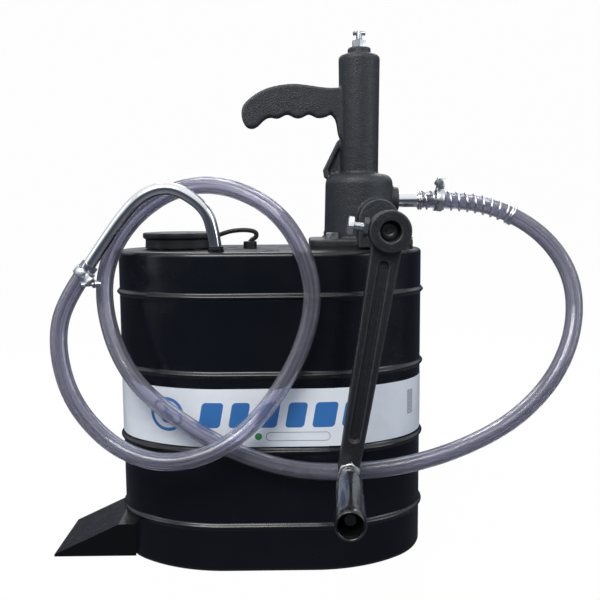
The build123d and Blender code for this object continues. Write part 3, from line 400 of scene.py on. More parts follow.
stretched = link(plating, "ShaderNodeMapping", {"Vector": place, "Scale": (260, 260, 1400)})
hair = reckon(plating, "MULTIPLY", noise(plating, stretched.outputs[0], 1.0, 2.0), given["Scratches"])
dull = spread(plating, noise(plating, place, 90.0, 4.0), 0.45, 0.75, 0.0, 0.22)
dull = reckon(plating, "MULTIPLY", dull, given["Dull"])
drive(plating, result["Roughness"], reckon(plating, "MULTIPLY_ADD", hair, 0.10, dull))
drive(plating, result["Height"], hair)


def plated(name, colour, least, scratches, dullness, depth):
    """A plated metal finish: its colour, lowest roughness, scratches and dull spots."""
    material, tree, shader = new_material(name)
    shader.inputs["Metallic"].default_value = 1.0
    shader.inputs["Base Color"].default_value = (*colour, 1)
    skin = use_group(tree, plating, Scratches=scratches, Dull=dullness)
    drive(tree, shader.inputs["Roughness"], reckon(tree, "ADD", skin["Roughness"], least))
    bump(tree, shader, skin["Height"], depth, 0.3)
    return material


chrome = plated("chrome_plate", (0.86, 0.87, 0.88), 0.06, 0.6, 0.5, 0.00005)
zinc = plated("zinc_plate", (0.60, 0.62, 0.64), 0.20, 1.0, 1.2, 0.00015)
worn_plate = plated("worn_plate", (0.36, 0.38, 0.40), 0.24, 1.0, 1.2, 0.00015)
finish(guard, chrome, "tank", ["spring_guard"])

clamp_width, clamp_sheet, ear_half, clamp_inset = 0.009, 0.0014, 0.0030, 0.011
start_axis, start_ear = (0.992, 0, -0.122), (0.122, 0, 0.992)


def band_clamp(name, centre, axis, ear, inner, ear_height=0.0112):
    """A band round the hose whose two ends rise into a folded ear. The path is a circle, then half an
    oval as high as the ear: its sine and cosine are raised to powers below one, which squares it, and
    its top is a quarter narrower. A flat strip with cut corners follows it."""
    axis, ear = Vector(axis).normalized(), Vector(ear).normalized()
    cross = axis.cross(ear)
    radius = inner + clamp_sheet / 2
    gap = math.asin(ear_half / radius)
    round_part = np.linspace(gap, 2 * np.pi - gap, 90)
    lift = np.linspace(0, np.pi, 40)[1:-1]
    ear_x = radius * math.cos(gap) + ear_height * np.sin(lift) ** 0.7
    ear_y = -ear_half * np.sign(np.cos(lift)) * np.abs(np.cos(lift)) ** 0.6 * (1 - 0.25 * np.sin(lift) ** 8)
    path = np.r_[np.c_[radius * np.cos(round_part), radius * np.sin(round_part)], np.c_[ear_x, ear_y]]
    ahead = np.roll(path, -1, axis=0) - np.roll(path, 1, axis=0)
    ahead /= np.linalg.norm(ahead, axis=1, keepdims=True)
    normal = np.c_[ahead[:, 1], -ahead[:, 0]]
    half, thick, soft = clamp_width / 2, clamp_sheet / 2, 0.0003
    section = np.array([
        (half - soft, thick), (half, thick - soft), (half, soft - thick), (half - soft, -thick),
        (soft - half, -thick), (-half, soft - thick), (-half, thick - soft), (soft - half, thick)])
    flat = path[:, None] + normal[:, None] * section[:, 1][:, None]
    grid = (np.array(centre) + flat[..., :1] * np.array(ear) + flat[..., 1:] * np.array(cross)
            + section[:, 0][None, :, None] * np.array(axis))
    return build_piece(name, [grid], 50, loop=True)


start_clamp = band_clamp("guard_clamp_band", (0.1932, 0, outlet[2]), start_axis, start_ear, 0.0115, 0.0128)
finish(start_clamp, zinc, "tank", ["guard_clamp"])
spout_end = np.array([-0.1864, -0.082, 0.3325])
spout_axis = Vector((0.767, 0, 1)).normalized()
ear_turn = math.radians(-50)
across = Vector((spout_axis.z, 0, -spout_axis.x))
spout_ear = across * math.cos(ear_turn) + spout_axis.cross(across) * math.sin(ear_turn)
end_clamp = band_clamp("spout_clamp_band", spout_end - clamp_inset * np.array(spout_axis), spout_axis,
                       spout_ear, 0.0092)
finish(end_clamp, zinc, "tank", ["spout_clamp"])

for node, material in (("guard_clamp_screw", zinc), ("spout_clamp_screw", zinc), ("outlet_nipple", chrome)):
    finish(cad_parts[node], material)

# The spout rises from the hose, goes over in an arch and comes down to its tip.
spout_bore, spout_outside = 0.0052, 0.0066
spout_line, _ = along(lay_line("spout_line", [
    (-0.1950, -0.082, 0.3212), (-0.1874, -0.082, 0.3321), (-0.1688, -0.082, 0.3590),
    (-0.1490, -0.082, 0.3858), (-0.1310, -0.082, 0.4040), (-0.1090, -0.082, 0.4125),
    (-0.0885, -0.082, 0.4085), (-0.0632, -0.082, 0.3895), (-0.0563, -0.082, 0.3625),
    (-0.0550, -0.082, 0.3509)]), 160)
spout = build_piece("spout_bend", [pipe_grid(spout_line, spout_outside, spout_bore, 40)], 60, loop=True)
finish(spout, chrome, "tank", ["spout_tube"])


# ---- Drum wall ----------------------------------------------------------------------------------
# 20 litre oval drum of painted steel sheet, rolled from one strip. Four swaged beads stiffen the wall,
# and the pressed top and bottom pans close it.

low, high = (np.array(c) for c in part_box("drum_top"))
wall_half_x, wall_half_y, drum_high = high[0], high[1], high[2]
end_radius, flat_half = 0.0804, 0.0482
bead_lowest, bead_pitch, bead_proud, bead_spread = 0.0512, 0.0824, 0.0030, 0.0048
pan_skirt, wall_sheet = 0.008, 0.0015

end_centre = wall_half_x - end_radius
shoulder_radius = ((end_centre - flat_half) ** 2 + wall_half_y ** 2 - end_radius ** 2) / (
    2 * (wall_half_y - end_radius))
shoulder_turn = math.atan2(wall_half_y - shoulder_radius, end_centre - flat_half)


def drum_plan(count):
    """The drum's plan, one quarter at a time: the centre of the arc that faces each direction, plus
    its radius along that direction. Returns the points and the directions that they face."""
    turn = np.r_[np.linspace(0, -shoulder_turn, count), np.linspace(-shoulder_turn, np.pi / 2, count)]
    at_end = np.arange(2 * count) < count
    centre = np.c_[np.where(at_end, end_centre, flat_half),
                   np.where(at_end, 0, wall_half_y - shoulder_radius)]
    normal = np.c_[np.cos(turn), np.sin(turn)]
    point = centre + np.where(at_end, end_radius, shoulder_radius)[:, None] * normal
    signs = np.array([(1, 1), (-1, 1), (-1, -1), (1, -1)])
    order = np.stack([np.arange(2 * count), np.arange(2 * count)[::-1]] * 2)
    return (point[order] * signs[:, None]).reshape(-1, 2), (normal[order] * signs[:, None]).reshape(-1, 2)


plan, plan_normal = drum_plan(42)
bead_height = bead_lowest + bead_pitch * np.arange(4)
heights = np.unique(np.r_[np.linspace(pan_skirt, drum_high - pan_skirt, 40),
                          (bead_height[:, None] + np.linspace(-1, 1, 17) * bead_spread).ravel()])


def wall_swell(z):
    """How far the wall stands out at a height: at each bead one cosine wave, raised to the power 1.25."""
    near = np.min(np.abs(z[:, None] - bead_height), axis=1)
    wave = 0.5 + 0.5 * np.cos(np.pi * near / bead_spread)
    return bead_proud * np.where(near < bead_spread, wave, 0) ** 1.25


outside = plan[None] + plan_normal[None] * wall_swell(heights)[:, None, None]
inside = plan[None] - wall_sheet * plan_normal[None] + 0 * outside[[0, -1]]
wall_grid = np.concatenate([
    np.concatenate([outside, np.broadcast_to(heights[:, None, None], (*outside.shape[:2], 1))], axis=2),
    np.concatenate([inside[::-1], np.broadcast_to(heights[[-1, 0], None, None], (2, len(plan), 1))], axis=2)])
wall = build_piece("drum_wall", [wall_grid], 30, loop=True)

# Sprayed enamel: fine orange peel, and slow waves where the film ran before it set.
peel, given, result, place = new_group("orange_peel", {"Scale": 520.0, "Waves": 26.0},
                                       {"Height": "Float", "Waves": "Float"})
drive(peel, result["Height"], noise(peel, place, given["Scale"], 2.5, Roughness=0.55))
drive(peel, result["Waves"], noise(peel, place, given["Waves"], 2.0))


def facing_up(tree):
    """How far the surface faces up, the height part of its normal: 1 for a level top, 0 for a wall."""
    normal = link(tree, "ShaderNodeNewGeometry").outputs["Normal"]
    return link(tree, "ShaderNodeSeparateXYZ", {0: normal}).outputs["Z"]


# Dust: settles on what faces up, in drifts.
dust, given, result, place = new_group("settled_dust", {"Amount": 0.5}, {"Mask": "Float"})
drift = spread(dust, noise(dust, place, 60.0, 6.0, Roughness=0.65), 0.35, 0.75)
mask = reckon(dust, "MULTIPLY", spread(dust, facing_up(dust), 0.55, 1.0), drift)
drive(dust, result["Mask"], reckon(dust, "MULTIPLY", mask, given["Amount"]))


enamel, tree, shader = new_material("drum_enamel")
shader.inputs["Specular IOR Level"].default_value = 0.52
skin, dirt = use_group(tree, peel), use_group(tree, dust, Amount=0.35)
marks = use_group(tree, smears, Scale=9.0)
colour_by(tree, shader, dirt["Mask"], (0.0034, 0.0044, 0.0080), (0.10, 0.09, 0.075))
rough = spread(tree, marks["Mask"], 0.0, 1.0, 0.20, 0.31)
drive(tree, shader.inputs["Roughness"], reckon(tree, "MULTIPLY_ADD", dirt["Mask"], 0.5, rough))
bump(tree, shader, reckon(tree, "MULTIPLY_ADD", skin["Waves"], 14.0, skin["Height"]), 0.00006, 0.7)
finish(wall, enamel, "tank", ["drum_shell"])
for node in ("drum_top", "drum_bottom"):
    finish(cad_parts[node], enamel)


# ---- Label --------------------------------------------------------------------------------------
# A wide band of white satin film round the drum between the second and third beads. Blue bars and a
# drop in a ring are printed on its front, with a green dot, an empty outlined field and fine rules.

film, tree, shader = new_material("printed_film")
axes = link(tree, "ShaderNodeSeparateXYZ", {0: link(tree, "ShaderNodeTexCoord").outputs["Object"]})
across_x, across_z = axes.outputs["X"], axes.outputs["Z"]


def rough_by(tree, shader, factor, first, second):
    """A shader's roughness runs between two numbers by a mask."""
    drive(tree, shader.inputs["Roughness"], spread(tree, factor, 0.0, 1.0, first, second))


def sum_of(kind, *values):
    """One arithmetic node of the film's own material."""
    return reckon(tree, kind, *values)


def inside_bar(x, z, half_length, half_height, lean=0.0, corner=0.0):
    """1 inside a leaning bar with rounded corners, else 0. How far a point is beyond the bar's inner
    box, across and up, gives its distance from that box, which is compared with the corner's radius."""
    shifted = sum_of("SUBTRACT", across_z, z)
    level_x = sum_of("SUBTRACT", sum_of("SUBTRACT", across_x, x), sum_of("MULTIPLY", shifted, lean))
    squares = []
    for offset, half in ((level_x, half_length), (shifted, half_height)):
        beyond = sum_of("MAXIMUM", sum_of("SUBTRACT", sum_of("ABSOLUTE", offset), half - corner), 0.0)
        squares.append(sum_of("MULTIPLY", beyond, beyond))
    return sum_of("LESS_THAN", sum_of("SQRT", sum_of("ADD", *squares)), corner + 1e-5)


blue = inside_bar(-0.110, 0.1725, 0.0185, 0.0185, 0, 0.0185)
blue = sum_of("SUBTRACT", blue, inside_bar(-0.110, 0.1725, 0.0150, 0.0150, 0, 0.0150))
for x, z, half_length, half_height, lean, corner in (
    (-0.110, 0.1695, 0.0068, 0.0068, 0, 0.0067), (-0.110, 0.1770, 0.0024, 0.0068, 0, 0.0023),
    (-0.062, 0.1735, 0.0115, 0.0135, 0.18, 0.004), (-0.032, 0.1735, 0.0095, 0.0135, 0.18, 0.004),
    (-0.002, 0.1735, 0.0115, 0.0135, 0.18, 0.004), (0.0285, 0.1735, 0.0100, 0.0135, 0.18, 0.004),
    (0.059, 0.1735, 0.0120, 0.0135, 0.18, 0.004), (0.091, 0.1735, 0.0125, 0.0135, 0.18, 0.004),
):
    blue = sum_of("MAXIMUM", blue, inside_bar(x, z, half_length, half_height, lean, corner))
green = inside_bar(-0.012, 0.1505, 0.0038, 0.0038, 0, 0.0037)
grey = sum_of("SUBTRACT", inside_bar(0.030, 0.1503, 0.034, 0.0048, 0, 0.0045),
              inside_bar(0.030, 0.1503, 0.0335, 0.0043, 0, 0.0040))
rules = sum_of("LESS_THAN", sum_of("FRACT", sum_of("MULTIPLY", across_z, 620.0)), 0.45)
grey = sum_of("MAXIMUM", grey, sum_of("MULTIPLY", rules, inside_bar(0.1545, 0.176, 0.0035, 0.014)))

marks, ripple = use_group(tree, smears, Scale=14.0), use_group(tree, peel, Scale=260.0, Waves=18.0)
front = sum_of("LESS_THAN", axes.outputs["Y"], 0.0)
colour = blend_colour(tree, marks["Mask"], (0.90, 0.94, 0.98), (0.82, 0.87, 0.93))
for printed, ink in ((blue, (0.042, 0.185, 0.50)), (green, (0.05, 0.33, 0.09)), (grey, (0.045, 0.05, 0.06))):
    colour = blend_colour(tree, sum_of("MULTIPLY", printed, front), colour, ink)
drive(tree, shader.inputs["Base Color"], colour)
rough_by(tree, shader, marks["Mask"], 0.30, 0.42)
bump(tree, shader, ripple["Waves"], 0.0006, 0.35)
finish(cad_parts["label_band"], film)


# ---- Foot step ----------------------------------------------------------------------------------
# Bent steel plate welded to the drum's left end, painted with it. A foot on the slope steadies the
# drum while pumping, so the paint is scuffed along the slope and the tip.

step_paint, tree, shader = new_material("step_paint")
skin = use_group(tree, peel, Scale=380.0, Waves=60.0)
streak = link(tree, "ShaderNodeMapping", {
    "Vector": link(tree, "ShaderNodeTexCoord").outputs["Object"], "Scale": (60, 420, 60)})
scuff = spread(tree, noise(tree, streak.outputs[0], 1.0, 6.0, Roughness=0.7), 0.52, 0.78)
scuff = reckon(tree, "MULTIPLY", scuff, spread(tree, facing_up(tree), 0.2, 0.5))
colour_by(tree, shader, scuff, (0.0030, 0.0030, 0.0034), (0.030, 0.030, 0.031))
rough_by(tree, shader, scuff, 0.26, 0.55)
bump(tree, shader, skin["Height"], 0.00025, 0.8)
finish(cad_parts["foot_step"], step_paint)


# ---- Filler cap, its strap and the spout's holder --------------------------------------------------
# The cap is a moulded disc with a rolled lip and a plain skirt over the filler neck. A flexible strap
# ties it to a plug in the drum's top. The parked spout stands in a short collar beside it.

def turned(name, profile, centre, axis=(0, 0, 1), columns=96, sharp=35.0):
    """A lathe piece: a closed profile of (radius, height) pairs carried round an axis."""
    axis = np.array(Vector(axis).normalized())
    first = np.array(Vector(axis).orthogonal().normalized())
    second = np.cross(axis, first)
    angle = np.linspace(0, 2 * np.pi, columns, endpoint=False)
    profile = np.asarray(profile, float)
    spoke = first * np.cos(angle)[:, None] + second * np.sin(angle)[:, None]
    grid = np.array(centre) + profile[:, :1, None] * spoke[None] + profile[:, 1:, None] * axis
    return build_piece(name, [grid], sharp)


def rounded(corners, radius, steps=6):
    """A profile with its corners cut: at each, a quadratic bend between a point a radius before it and
    one a radius after."""
    corners = np.asarray(corners, float)
    before = np.vstack([corners[:1], corners[:-1]]) - corners
    after = np.vstack([corners[1:], corners[-1:]]) - corners
    reach_before, reach_after = np.linalg.norm(before, axis=1), np.linalg.norm(after, axis=1)
    cut = np.minimum(radius, 0.45 * np.minimum(reach_before, reach_after))
    start = corners + before * np.divide(cut, reach_before, where=reach_before > 0, out=0 * cut)[:, None]
    stop = corners + after * np.divide(cut, reach_after, where=reach_after > 0, out=0 * cut)[:, None]
    t = np.linspace(0, 1, steps)[None, :, None]
    bends = (1 - t) ** 2 * start[:, None] + 2 * t * (1 - t) * corners[:, None] + t ** 2 * stop[:, None]
    return bends.reshape(-1, 2)


low, high = (np.array(c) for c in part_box("filler_cap"))
middle = (low + high) / 2
cap_radius, tall = (high[0] - low[0]) / 2, high[2] - low[2]
skirt, cap_wall = cap_radius - 0.0029, 0.0030
profile = rounded([
    (0, tall), (cap_radius - 0.012, tall - 0.0003), (cap_radius, tall - 0.0008),
    (cap_radius, tall - 0.0068), (skirt, tall - 0.0080), (skirt + 0.0004, 0), (skirt - cap_wall, 0),
    (skirt - cap_wall, tall - 0.0032), (0, tall - 0.0032)], 0.0021)
cap = turned("cap_shell", profile, (middle[0], middle[1], low[2]))
moulded, tree, shader = new_material("moulded_black")
skin, dirt = use_group(tree, peel, Scale=900.0, Waves=70.0), use_group(tree, dust, Amount=0.55)
marks = use_group(tree, smears, Scale=30.0)
colour_by(tree, shader, dirt["Mask"], (0.0120, 0.0135, 0.0165), (0.13, 0.12, 0.105))
rough_by(tree, shader, marks["Mask"], 0.42, 0.58)
bump(tree, shader, skin["Height"], 0.00012, 0.6)
finish(cap, moulded, "cap", ["filler_cap"])

strap_low, strap_high = (np.array(c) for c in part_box("cap_tether"))
anchor_low, anchor_high = (np.array(c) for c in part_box("tether_anchor"))
anchor_x = (anchor_low[0] + anchor_high[0]) / 2
strap_line, _ = along(lay_line("strap_line", [
    (strap_low[0], 0, strap_low[2] + 0.0085), (strap_low[0] + 0.008, 0, strap_low[2] + 0.0115),
    (strap_low[0] + 0.018, 0, strap_high[2] - 0.0042), (anchor_x - 0.004, 0, strap_high[2] - 0.0036),
    (anchor_x + 0.0072, 0, strap_high[2] - 0.0058), (anchor_x + 0.0075, 0, anchor_high[2] + 0.0045),
    (anchor_x + 0.0015, 0, anchor_high[2] + 0.0015), (anchor_x, 0, anchor_high[2] - 0.001)]), 90)
# Its section is an oval with sine and cosine raised to a half, nearly a rectangle with round corners.
_, first, second = frames(strap_line)
angle = np.linspace(0, 2 * np.pi, 20, endpoint=False)
wide = 0.0040 * np.sign(np.cos(angle)) * np.abs(np.cos(angle)) ** 0.5
thick = 0.0026 * np.sign(np.sin(angle)) * np.abs(np.sin(angle)) ** 0.5
strap_grid = strap_line[:, None] + second[:, None] * wide[:, None] + first[:, None] * thick[:, None]
strap = build_piece("cap_strap", [np.concatenate([strap_line[:1, None] + 0 * strap_grid[:1], strap_grid,
                                                  strap_line[-1:, None] + 0 * strap_grid[-1:]])], 50)
rubber, tree, shader = new_material("strap_rubber")
dirt, marks = use_group(tree, dust, Amount=0.3), use_group(tree, smears, Scale=60.0)
colour_by(tree, shader, dirt["Mask"], (0.011, 0.011, 0.012), (0.09, 0.08, 0.07))
rough_by(tree, shader, marks["Mask"], 0.38, 0.55)
bump(tree, shader, use_group(tree, peel, Scale=1400.0)["Height"], 0.0001, 0.5)
strap.data.materials.append(rubber)
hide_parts("cap_tether")
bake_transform(strap)
anchor_profile = rounded([(0, 0.008), (0.0076, 0.008), (0.0078, 0.0012), (0.0080, 0), (0, 0)], 0.0012)
anchor = turned("strap_plug", anchor_profile, (anchor_x, 0, anchor_low[2]), columns=48)
finish(anchor, rubber, "tank", ["tether_anchor"])
finish(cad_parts["cap_gasket"], rubber)
for node in ("filler_neck", "nozzle_holder"):
    finish(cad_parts[node], enamel)
finish(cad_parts["tip_collar"], rubber)
finish(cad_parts["spout_tip"], chrome)


# ---- Pump casting -------------------------------------------------------------------------------
# Flange, bell, tower, shaft housing and carry handle are one iron casting. It is shaped from a copy of
# the CAD body: a fine shell is drawn over it and relaxed, which gives the cast fillets and soft edges.

def cast_from(node, name, voxel, passes):
    """A relaxed shell over a CAD body: even cells of the voxel's size, then passes of smoothing."""
    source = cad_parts[node]
    piece = bpy.data.objects.new(name, source.data.copy())
    bpy.context.scene.collection.objects.link(piece)
    work = bmesh.new()
    work.from_mesh(piece.data)
    bmesh.ops.remove_doubles(work, verts=work.verts, dist=1e-6)
    work.to_mesh(piece.data)
    work.free()
    shell = piece.modifiers.new("shell", "REMESH")
    shell.mode, shell.voxel_size, shell.use_smooth_shade = "VOXEL", voxel, True
    relax = piece.modifiers.new("relax", "SMOOTH")
    relax.factor, relax.iterations = 0.5, passes
    bpy.context.view_layer.update()
    done = bpy.data.meshes.new_from_object(piece.evaluated_get(bpy.context.evaluated_depsgraph_get()))
    piece.modifiers.clear()
    piece.data = done
    done.name = name
    return piece


casting = cast_from("pump_casting", "pump_body", 0.00125, 5)

# Sand casting: grains of about a millimetre under thick paint, with shallow pits and swells.
grain, given, result, place = new_group("sand_grain", {"Scale": 1.0, "Swell": 1.0, "Pits": 1.0},
                                        {"Height": "Float", "Speck": "Float"})
fine_scale, swell_scale, pit_scale = (reckon(grain, "MULTIPLY", given["Scale"], scale)
                                      for scale in (620.0, 110.0, 480.0))
fine = noise(grain, place, fine_scale, 3.0, Roughness=0.6)
swell = noise(grain, place, swell_scale, 2.0)
cells = link(grain, "ShaderNodeTexVoronoi", {"Vector": place, "Randomness": 1.0, "Scale": pit_scale})
pits = spread(grain, cells.outputs["Distance"], 0.0, 0.35, -0.6, 0.0)
pits = reckon(grain, "MULTIPLY", pits, given["Pits"])
relief = reckon(grain, "MULTIPLY_ADD", swell, given["Swell"], fine)
drive(grain, result["Height"], reckon(grain, "ADD", relief, pits))
drive(grain, result["Speck"], spread(grain, fine, 0.50, 0.72))

# Rubbed edges and a painted highlight: where the surface turns outwards the paint is thinner, and its colour
# is lightened there as a painted highlight along the edges.
edges, given, result, place = new_group("rubbed_edges_and_painted_highlight", {"From": 0.505, "To": 0.56}, {"Mask": "Float"})
turn_out = link(edges, "ShaderNodeNewGeometry").outputs["Pointiness"]
worn_and_lit = spread(edges, turn_out, given["From"], given["To"])
drive(edges, result["Mask"], reckon(edges, "MULTIPLY", worn_and_lit, noise(edges, place, 160.0, 4.0)))


def cast_paint(name, dark, light, least, most, depth, scale):
    """Painted cast iron: two tones by grain, dull or glossy by grain, rubbed edges lightened as a painted
    highlight, and dust on top.
    """
    material, tree, shader = new_material(name)
    skin, rubbed_and_lit = use_group(tree, grain, Scale=scale), use_group(tree, edges)
    dirt = use_group(tree, dust, Amount=0.35)
    colour = blend_colour(tree, skin["Speck"], dark, light)
    # Outward edges turn pale grey: partly rubbed paint, partly a painted highlight.
    colour = blend_colour(tree, rubbed_and_lit["Mask"], colour, (0.085, 0.092, 0.10))
    colour = blend_colour(tree, dirt["Mask"], colour, (0.12, 0.11, 0.10))
    drive(tree, shader.inputs["Base Color"], colour)
    rough_by(tree, shader, skin["Speck"], least, most)
    bump(tree, shader, skin["Height"], depth, 1.0)
    return material


body_paint = cast_paint("cast_iron_paint", (0.012, 0.015, 0.019), (0.028, 0.033, 0.039), 0.50, 0.34,
                        0.00045, 1.0)
finish(casting, body_paint, "tank", ["pump_casting"])
finish(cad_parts["flange_gasket"], rubber)


# ---- Bolts, nuts and plugs ------------------------------------------------------------------------
# Bright zinc hexagon heads, each with its corners turned off at 30 degrees and a washer face below.

def hex_grid(centre, axis, flats, height, turn=0.0, bore=0.0, columns=72):
    """A chamfered hexagon: at each angle the corner's reach, its height cut down by a 30 degree cone."""
    axis = Vector(axis).normalized()
    first = axis.orthogonal().normalized()
    second = axis.cross(first)
    angle = np.linspace(0, 2 * np.pi, columns, endpoint=False)
    reach = flats / 2 / np.cos((angle + np.pi / 6) % (np.pi / 3) - np.pi / 6)
    drop = np.clip(reach - flats / 2 * 0.96, 0, None) * math.tan(math.radians(30))
    ring = np.ones(columns)
    radii = np.stack([bore * ring, flats / 2 * 0.93 * ring, flats / 2 * 0.96 * ring, reach, reach,
                      flats / 2 * 0.96 * ring, flats / 2 * 0.93 * ring, bore * ring])
    up = np.stack([height * ring, height * ring, height * ring, height - drop, drop * 0.6 + 0.0002,
                   0.0002 * ring, 0 * ring, 0 * ring])
    if bore > 0:
        radii, up = np.vstack([radii, radii[:1]]), np.vstack([up, up[:1]])
    spoke = np.cos(angle + turn)[:, None] * np.array(first) + np.sin(angle + turn)[:, None] * np.array(second)
    return np.array(centre) + radii[..., None] * spoke + up[..., None] * np.array(axis)


low, high = (np.array(c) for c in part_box("flange_washers"))
head_seat, washer = high[2], 0.0085
bolt_places = [(low[0] + washer, -0.038), (low[0] + washer, 0.038),
               (high[0] - washer, -0.036), (high[0] - washer, 0.036)]
bolts = build_piece("flange_bolt_heads", [hex_grid((x, y, head_seat), (0, 0, 1), 0.013, 0.0055, turn=0.4 * i)
                                          for i, (x, y) in enumerate(bolt_places)], 22)
finish(bolts, zinc, "tank", ["flange_bolts"])
finish(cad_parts["flange_washers"], zinc)

shaft_low, shaft_high = (np.array(c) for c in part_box("lever_shaft"))
shaft_x, shaft_z = (shaft_low[0] + shaft_high[0]) / 2, (shaft_low[2] + shaft_high[2]) / 2
plug_back, plug_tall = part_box("rear_plug")[1][1], 0.006
plug = build_piece("rear_cap_nut", [
    hex_grid((shaft_x, plug_back - plug_tall, shaft_z), (0, 1, 0), 0.024, plug_tall)], 22)
finish(plug, zinc, "tank", ["rear_plug"])

bleed_low, bleed_high = (np.array(c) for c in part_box("bleed_valve_body"))
pump_x = (bleed_low[0] + bleed_high[0]) / 2
bleed_tall = 0.0085
bleed = build_piece("bleed_valve_nut", [
    hex_grid((pump_x, 0, bleed_high[2] - bleed_tall), (0, 0, 1), 0.0145, bleed_tall, 0.3, 0.0031)], 22)
finish(bleed, worn_plate, "tank", ["bleed_valve_body"])

# The bleed screw: a turned stem with a cross bar, its ends rounded, to be turned by finger and thumb.
low, high = (np.array(c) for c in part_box("bleed_screw"))
bar_z, stem_low, bar_half = high[2] - 0.0024, low[2], (high[0] - low[0]) / 2
stem_line = np.array([[pump_x, 0, z] for z in (
    stem_low, bleed_high[2] + 0.0004, bleed_high[2] + 0.0010, bar_z, high[2] - 0.0003, high[2])])
bar_x = np.array([-1, -0.985, -0.90, -0.72, 0.72, 0.90, 0.985, 1]) * bar_half
bar_line = np.c_[pump_x + bar_x, 0 * bar_x, bar_z + 0 * bar_x]
key = build_piece("bleed_screw_key", [
    tube_grid(stem_line, np.array([0.0001, 0.0029, 0.0036, 0.0033, 0.0028, 0.0001]), 28),
    tube_grid(bar_line, np.array([0.0001, 0.0015, 0.0026, 0.0022, 0.0022, 0.0026, 0.0015, 0.0001]), 24)], 50)
finish(key, worn_plate, "bleed", ["bleed_screw"])


# ---- Lever, its shaft and screws --------------------------------------------------------------------
# The cast lever is clamped on the shaft's end by a long hexagon set screw with a lock nut. Its arm has
# a flute down the front, and a shouldered steel spindle with a nut carries the grip at its end.

lever = cast_from("lever_arm", "lever_casting", 0.0009, 4)
lever_paint = cast_paint("lever_paint", (0.0050, 0.0056, 0.0078), (0.014, 0.0155, 0.019), 0.46, 0.32,
                         0.0004, 1.15)
finish(lever, lever_paint, "lever", ["lever_arm"])

lean = math.radians(9.4)
arm_down = np.array((-math.sin(lean), 0, -math.cos(lean)))
arm_left = np.array((-math.cos(lean), 0, math.sin(lean)))
screw_y = (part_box("lever_arm")[0][1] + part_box("lever_arm")[1][1]) / 2
hub, screw_flats = np.array((shaft_x, screw_y, shaft_z)), 0.0165
head = build_piece("set_screw_head", [
    hex_grid(hub + 0.0350 * arm_left, arm_left, screw_flats, 0.0058, turn=0.2),
    tube_grid(hub + np.array([[0.0195], [0.0352]]) * arm_left, 0.0036, 24)], 22)
finish(head, zinc, "lever", ["hub_set_screw"])
lock = build_piece("set_screw_lock_nut", [
    hex_grid(hub + 0.0205 * arm_left, arm_left, screw_flats, 0.005, turn=0.7, bore=0.0043)], 22)
finish(lock, lever_paint, "lever", ["set_screw_nut"])

# The shaft's end is faced flush with the recess and has a drilled centre inside a bright turned ring.
shaft_face = shaft_low[1]
centre_hole = turned("shaft_centre", rounded([
    (0, 0.0008), (0.0012, 0.0010), (0.0032, -0.0002), (0.0046, -0.0008), (0.0074, -0.0008),
    (0.0078, 0.0006), (0.0078, 0.0020), (0, 0.0020)], 0.0004, 4),
    (shaft_x, shaft_face, shaft_z), (0, 1, 0), 48)

grip_lean = math.radians(3.6)
grip_axis = np.array((-math.sin(grip_lean), -math.cos(grip_lean), 0))
arm_front, arm_reach = -0.151, 0.240
arm_end = np.array((shaft_x, arm_front, shaft_z)) + arm_reach * arm_down
nut = build_piece("spindle_collar_nut", [
    hex_grid(arm_end + 0.0012 * grip_axis, grip_axis, 0.0195, 0.0080, bore=0.0051)], 22)
finish(nut, zinc, "lever", ["spindle_nut"])


# ---- Grip ---------------------------------------------------------------------------------------
# A glossy black moulded sleeve that turns on the spindle: a narrow neck, a shoulder, and a body that
# widens to a rounded rim round a hollow end. Six shallow lengthwise flats keep it from slipping.

# Its outline is a row of distances along the grip and radii, filled in evenly and smoothed by a running
# mean of seven. On the body each radius is cut by up to 3.5 %, as a cosine six times round.
grip_from, grip_columns = 0.0105, 96
along_grip = np.array([0, 0.002, 0.006, 0.012, 0.020, 0.028, 0.050, 0.080, 0.110, 0.1225,
                       0.1262, 0.1278, 0.128, 0.1272, 0.121, 0.100, 0.0995])
reach_grip = np.array([0.0078, 0.0087, 0.0090, 0.0094, 0.0110, 0.0129, 0.0133, 0.0137, 0.0140, 0.0140,
                       0.0134, 0.0124, 0.0116, 0.0108, 0.0102, 0.0093, 0.0])
cut = np.linspace(0, len(along_grip) - 1, 129)
profile_s = np.interp(cut, np.arange(len(along_grip)), along_grip)
profile_r = np.interp(cut, np.arange(len(along_grip)), reach_grip)
smooth = np.ones(7) / 7
profile_s = np.r_[profile_s[:3], np.convolve(profile_s, smooth, "valid"), profile_s[-3:]]
profile_r = np.r_[profile_r[:3], np.convolve(profile_r, smooth, "valid"), profile_r[-3:]]
angle = np.linspace(0, 2 * np.pi, grip_columns, endpoint=False)
first = np.array((0, 0, 1.0))
second = np.cross(grip_axis, first)
body = np.clip((profile_s - 0.018) / 0.02, 0, 1) * np.clip((0.122 - profile_s) / 0.01, 0, 1)
flats = 1 - 0.035 * body[:, None] * (0.5 - 0.5 * np.cos(6 * angle))[None]
spoke = first * np.cos(angle)[:, None] + second * np.sin(angle)[:, None]
grid = (arm_end + (grip_from + profile_s)[:, None, None] * grip_axis
        + (profile_r[:, None] * flats)[..., None] * spoke[None])
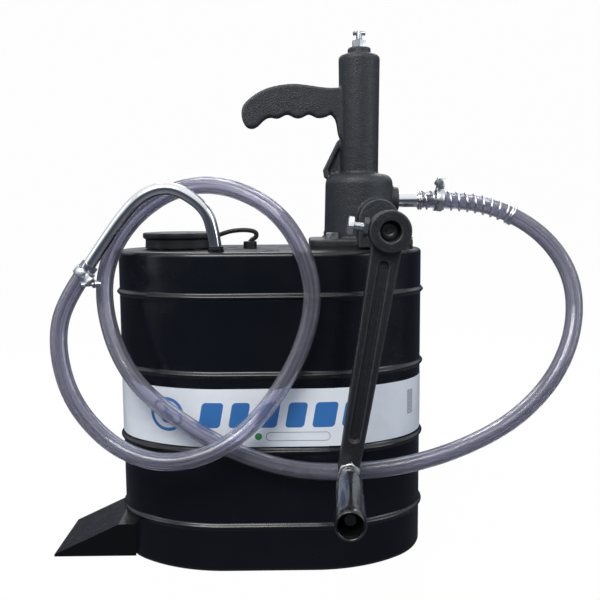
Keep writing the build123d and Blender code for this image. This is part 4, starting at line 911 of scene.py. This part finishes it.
grid = np.concatenate([np.broadcast_to(arm_end + grip_from * grip_axis, (1, grip_columns, 3)), grid])
grip = build_piece("grip_body", [grid], 50)
gloss, tree, shader = new_material("grip_gloss")
marks = use_group(tree, smears, Scale=34.0)
colour_by(tree, shader, marks["Mask"], (0.0055, 0.0055, 0.0060), (0.013, 0.013, 0.014))
rough_by(tree, shader, marks["Mask"], 0.15, 0.32)
shader.inputs["Coat Weight"].default_value = 0.4
shader.inputs["Coat Roughness"].default_value = 0.08
bump(tree, shader, use_group(tree, peel, Scale=300.0)["Height"], 0.00004, 0.5)
finish(grip, gloss, "grip", ["grip_sleeve"])


# ---- Inner works ----------------------------------------------------------------------------------
# Turned and ground steel for the shaft, pinion, rack rod and pump tube, bronze for the bushes, valve
# bodies and strainer, and rubber for the seal and the piston's cup. They stay as designed.

def turned_metal(name, colour, least, most):
    """Machined metal: fine tool lines round the piece, a light oil film in patches."""
    material, tree, shader = new_material(name)
    shader.inputs["Metallic"].default_value = 1.0
    film = use_group(tree, smears, Scale=55.0)
    skin = use_group(tree, plating, Scratches=1.0, Dull=0.8)
    colour_by(tree, shader, film["Mask"], colour, tuple(0.72 * part for part in colour))
    rough_by(tree, shader, film["Mask"], least, most)
    bump(tree, shader, skin["Height"], 0.00012, 0.35)
    return material


steel = turned_metal("machined_steel", (0.56, 0.57, 0.58), 0.24, 0.40)
bronze = turned_metal("bearing_bronze", (0.62, 0.40, 0.20), 0.28, 0.46)
dark_steel = turned_metal("oiled_steel", (0.10, 0.10, 0.105), 0.34, 0.50)
for material, nodes in (
    (steel, ("drive_pinion", "pinion_pin", "piston_rod", "pump_tube", "piston_head", "piston_nut",
             "foot_ball", "piston_ball")),
    (dark_steel, ("lever_shaft", "grip_spindle")),
    (bronze, ("front_bush", "rear_bush", "rod_bush", "foot_valve_body", "foot_valve_cage",
              "suction_strainer")),
    (rubber, ("shaft_seal", "piston_cup")),
):
    for node in nodes:
        finish(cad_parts[node], material)
finish(centre_hole, dark_steel, "lever")
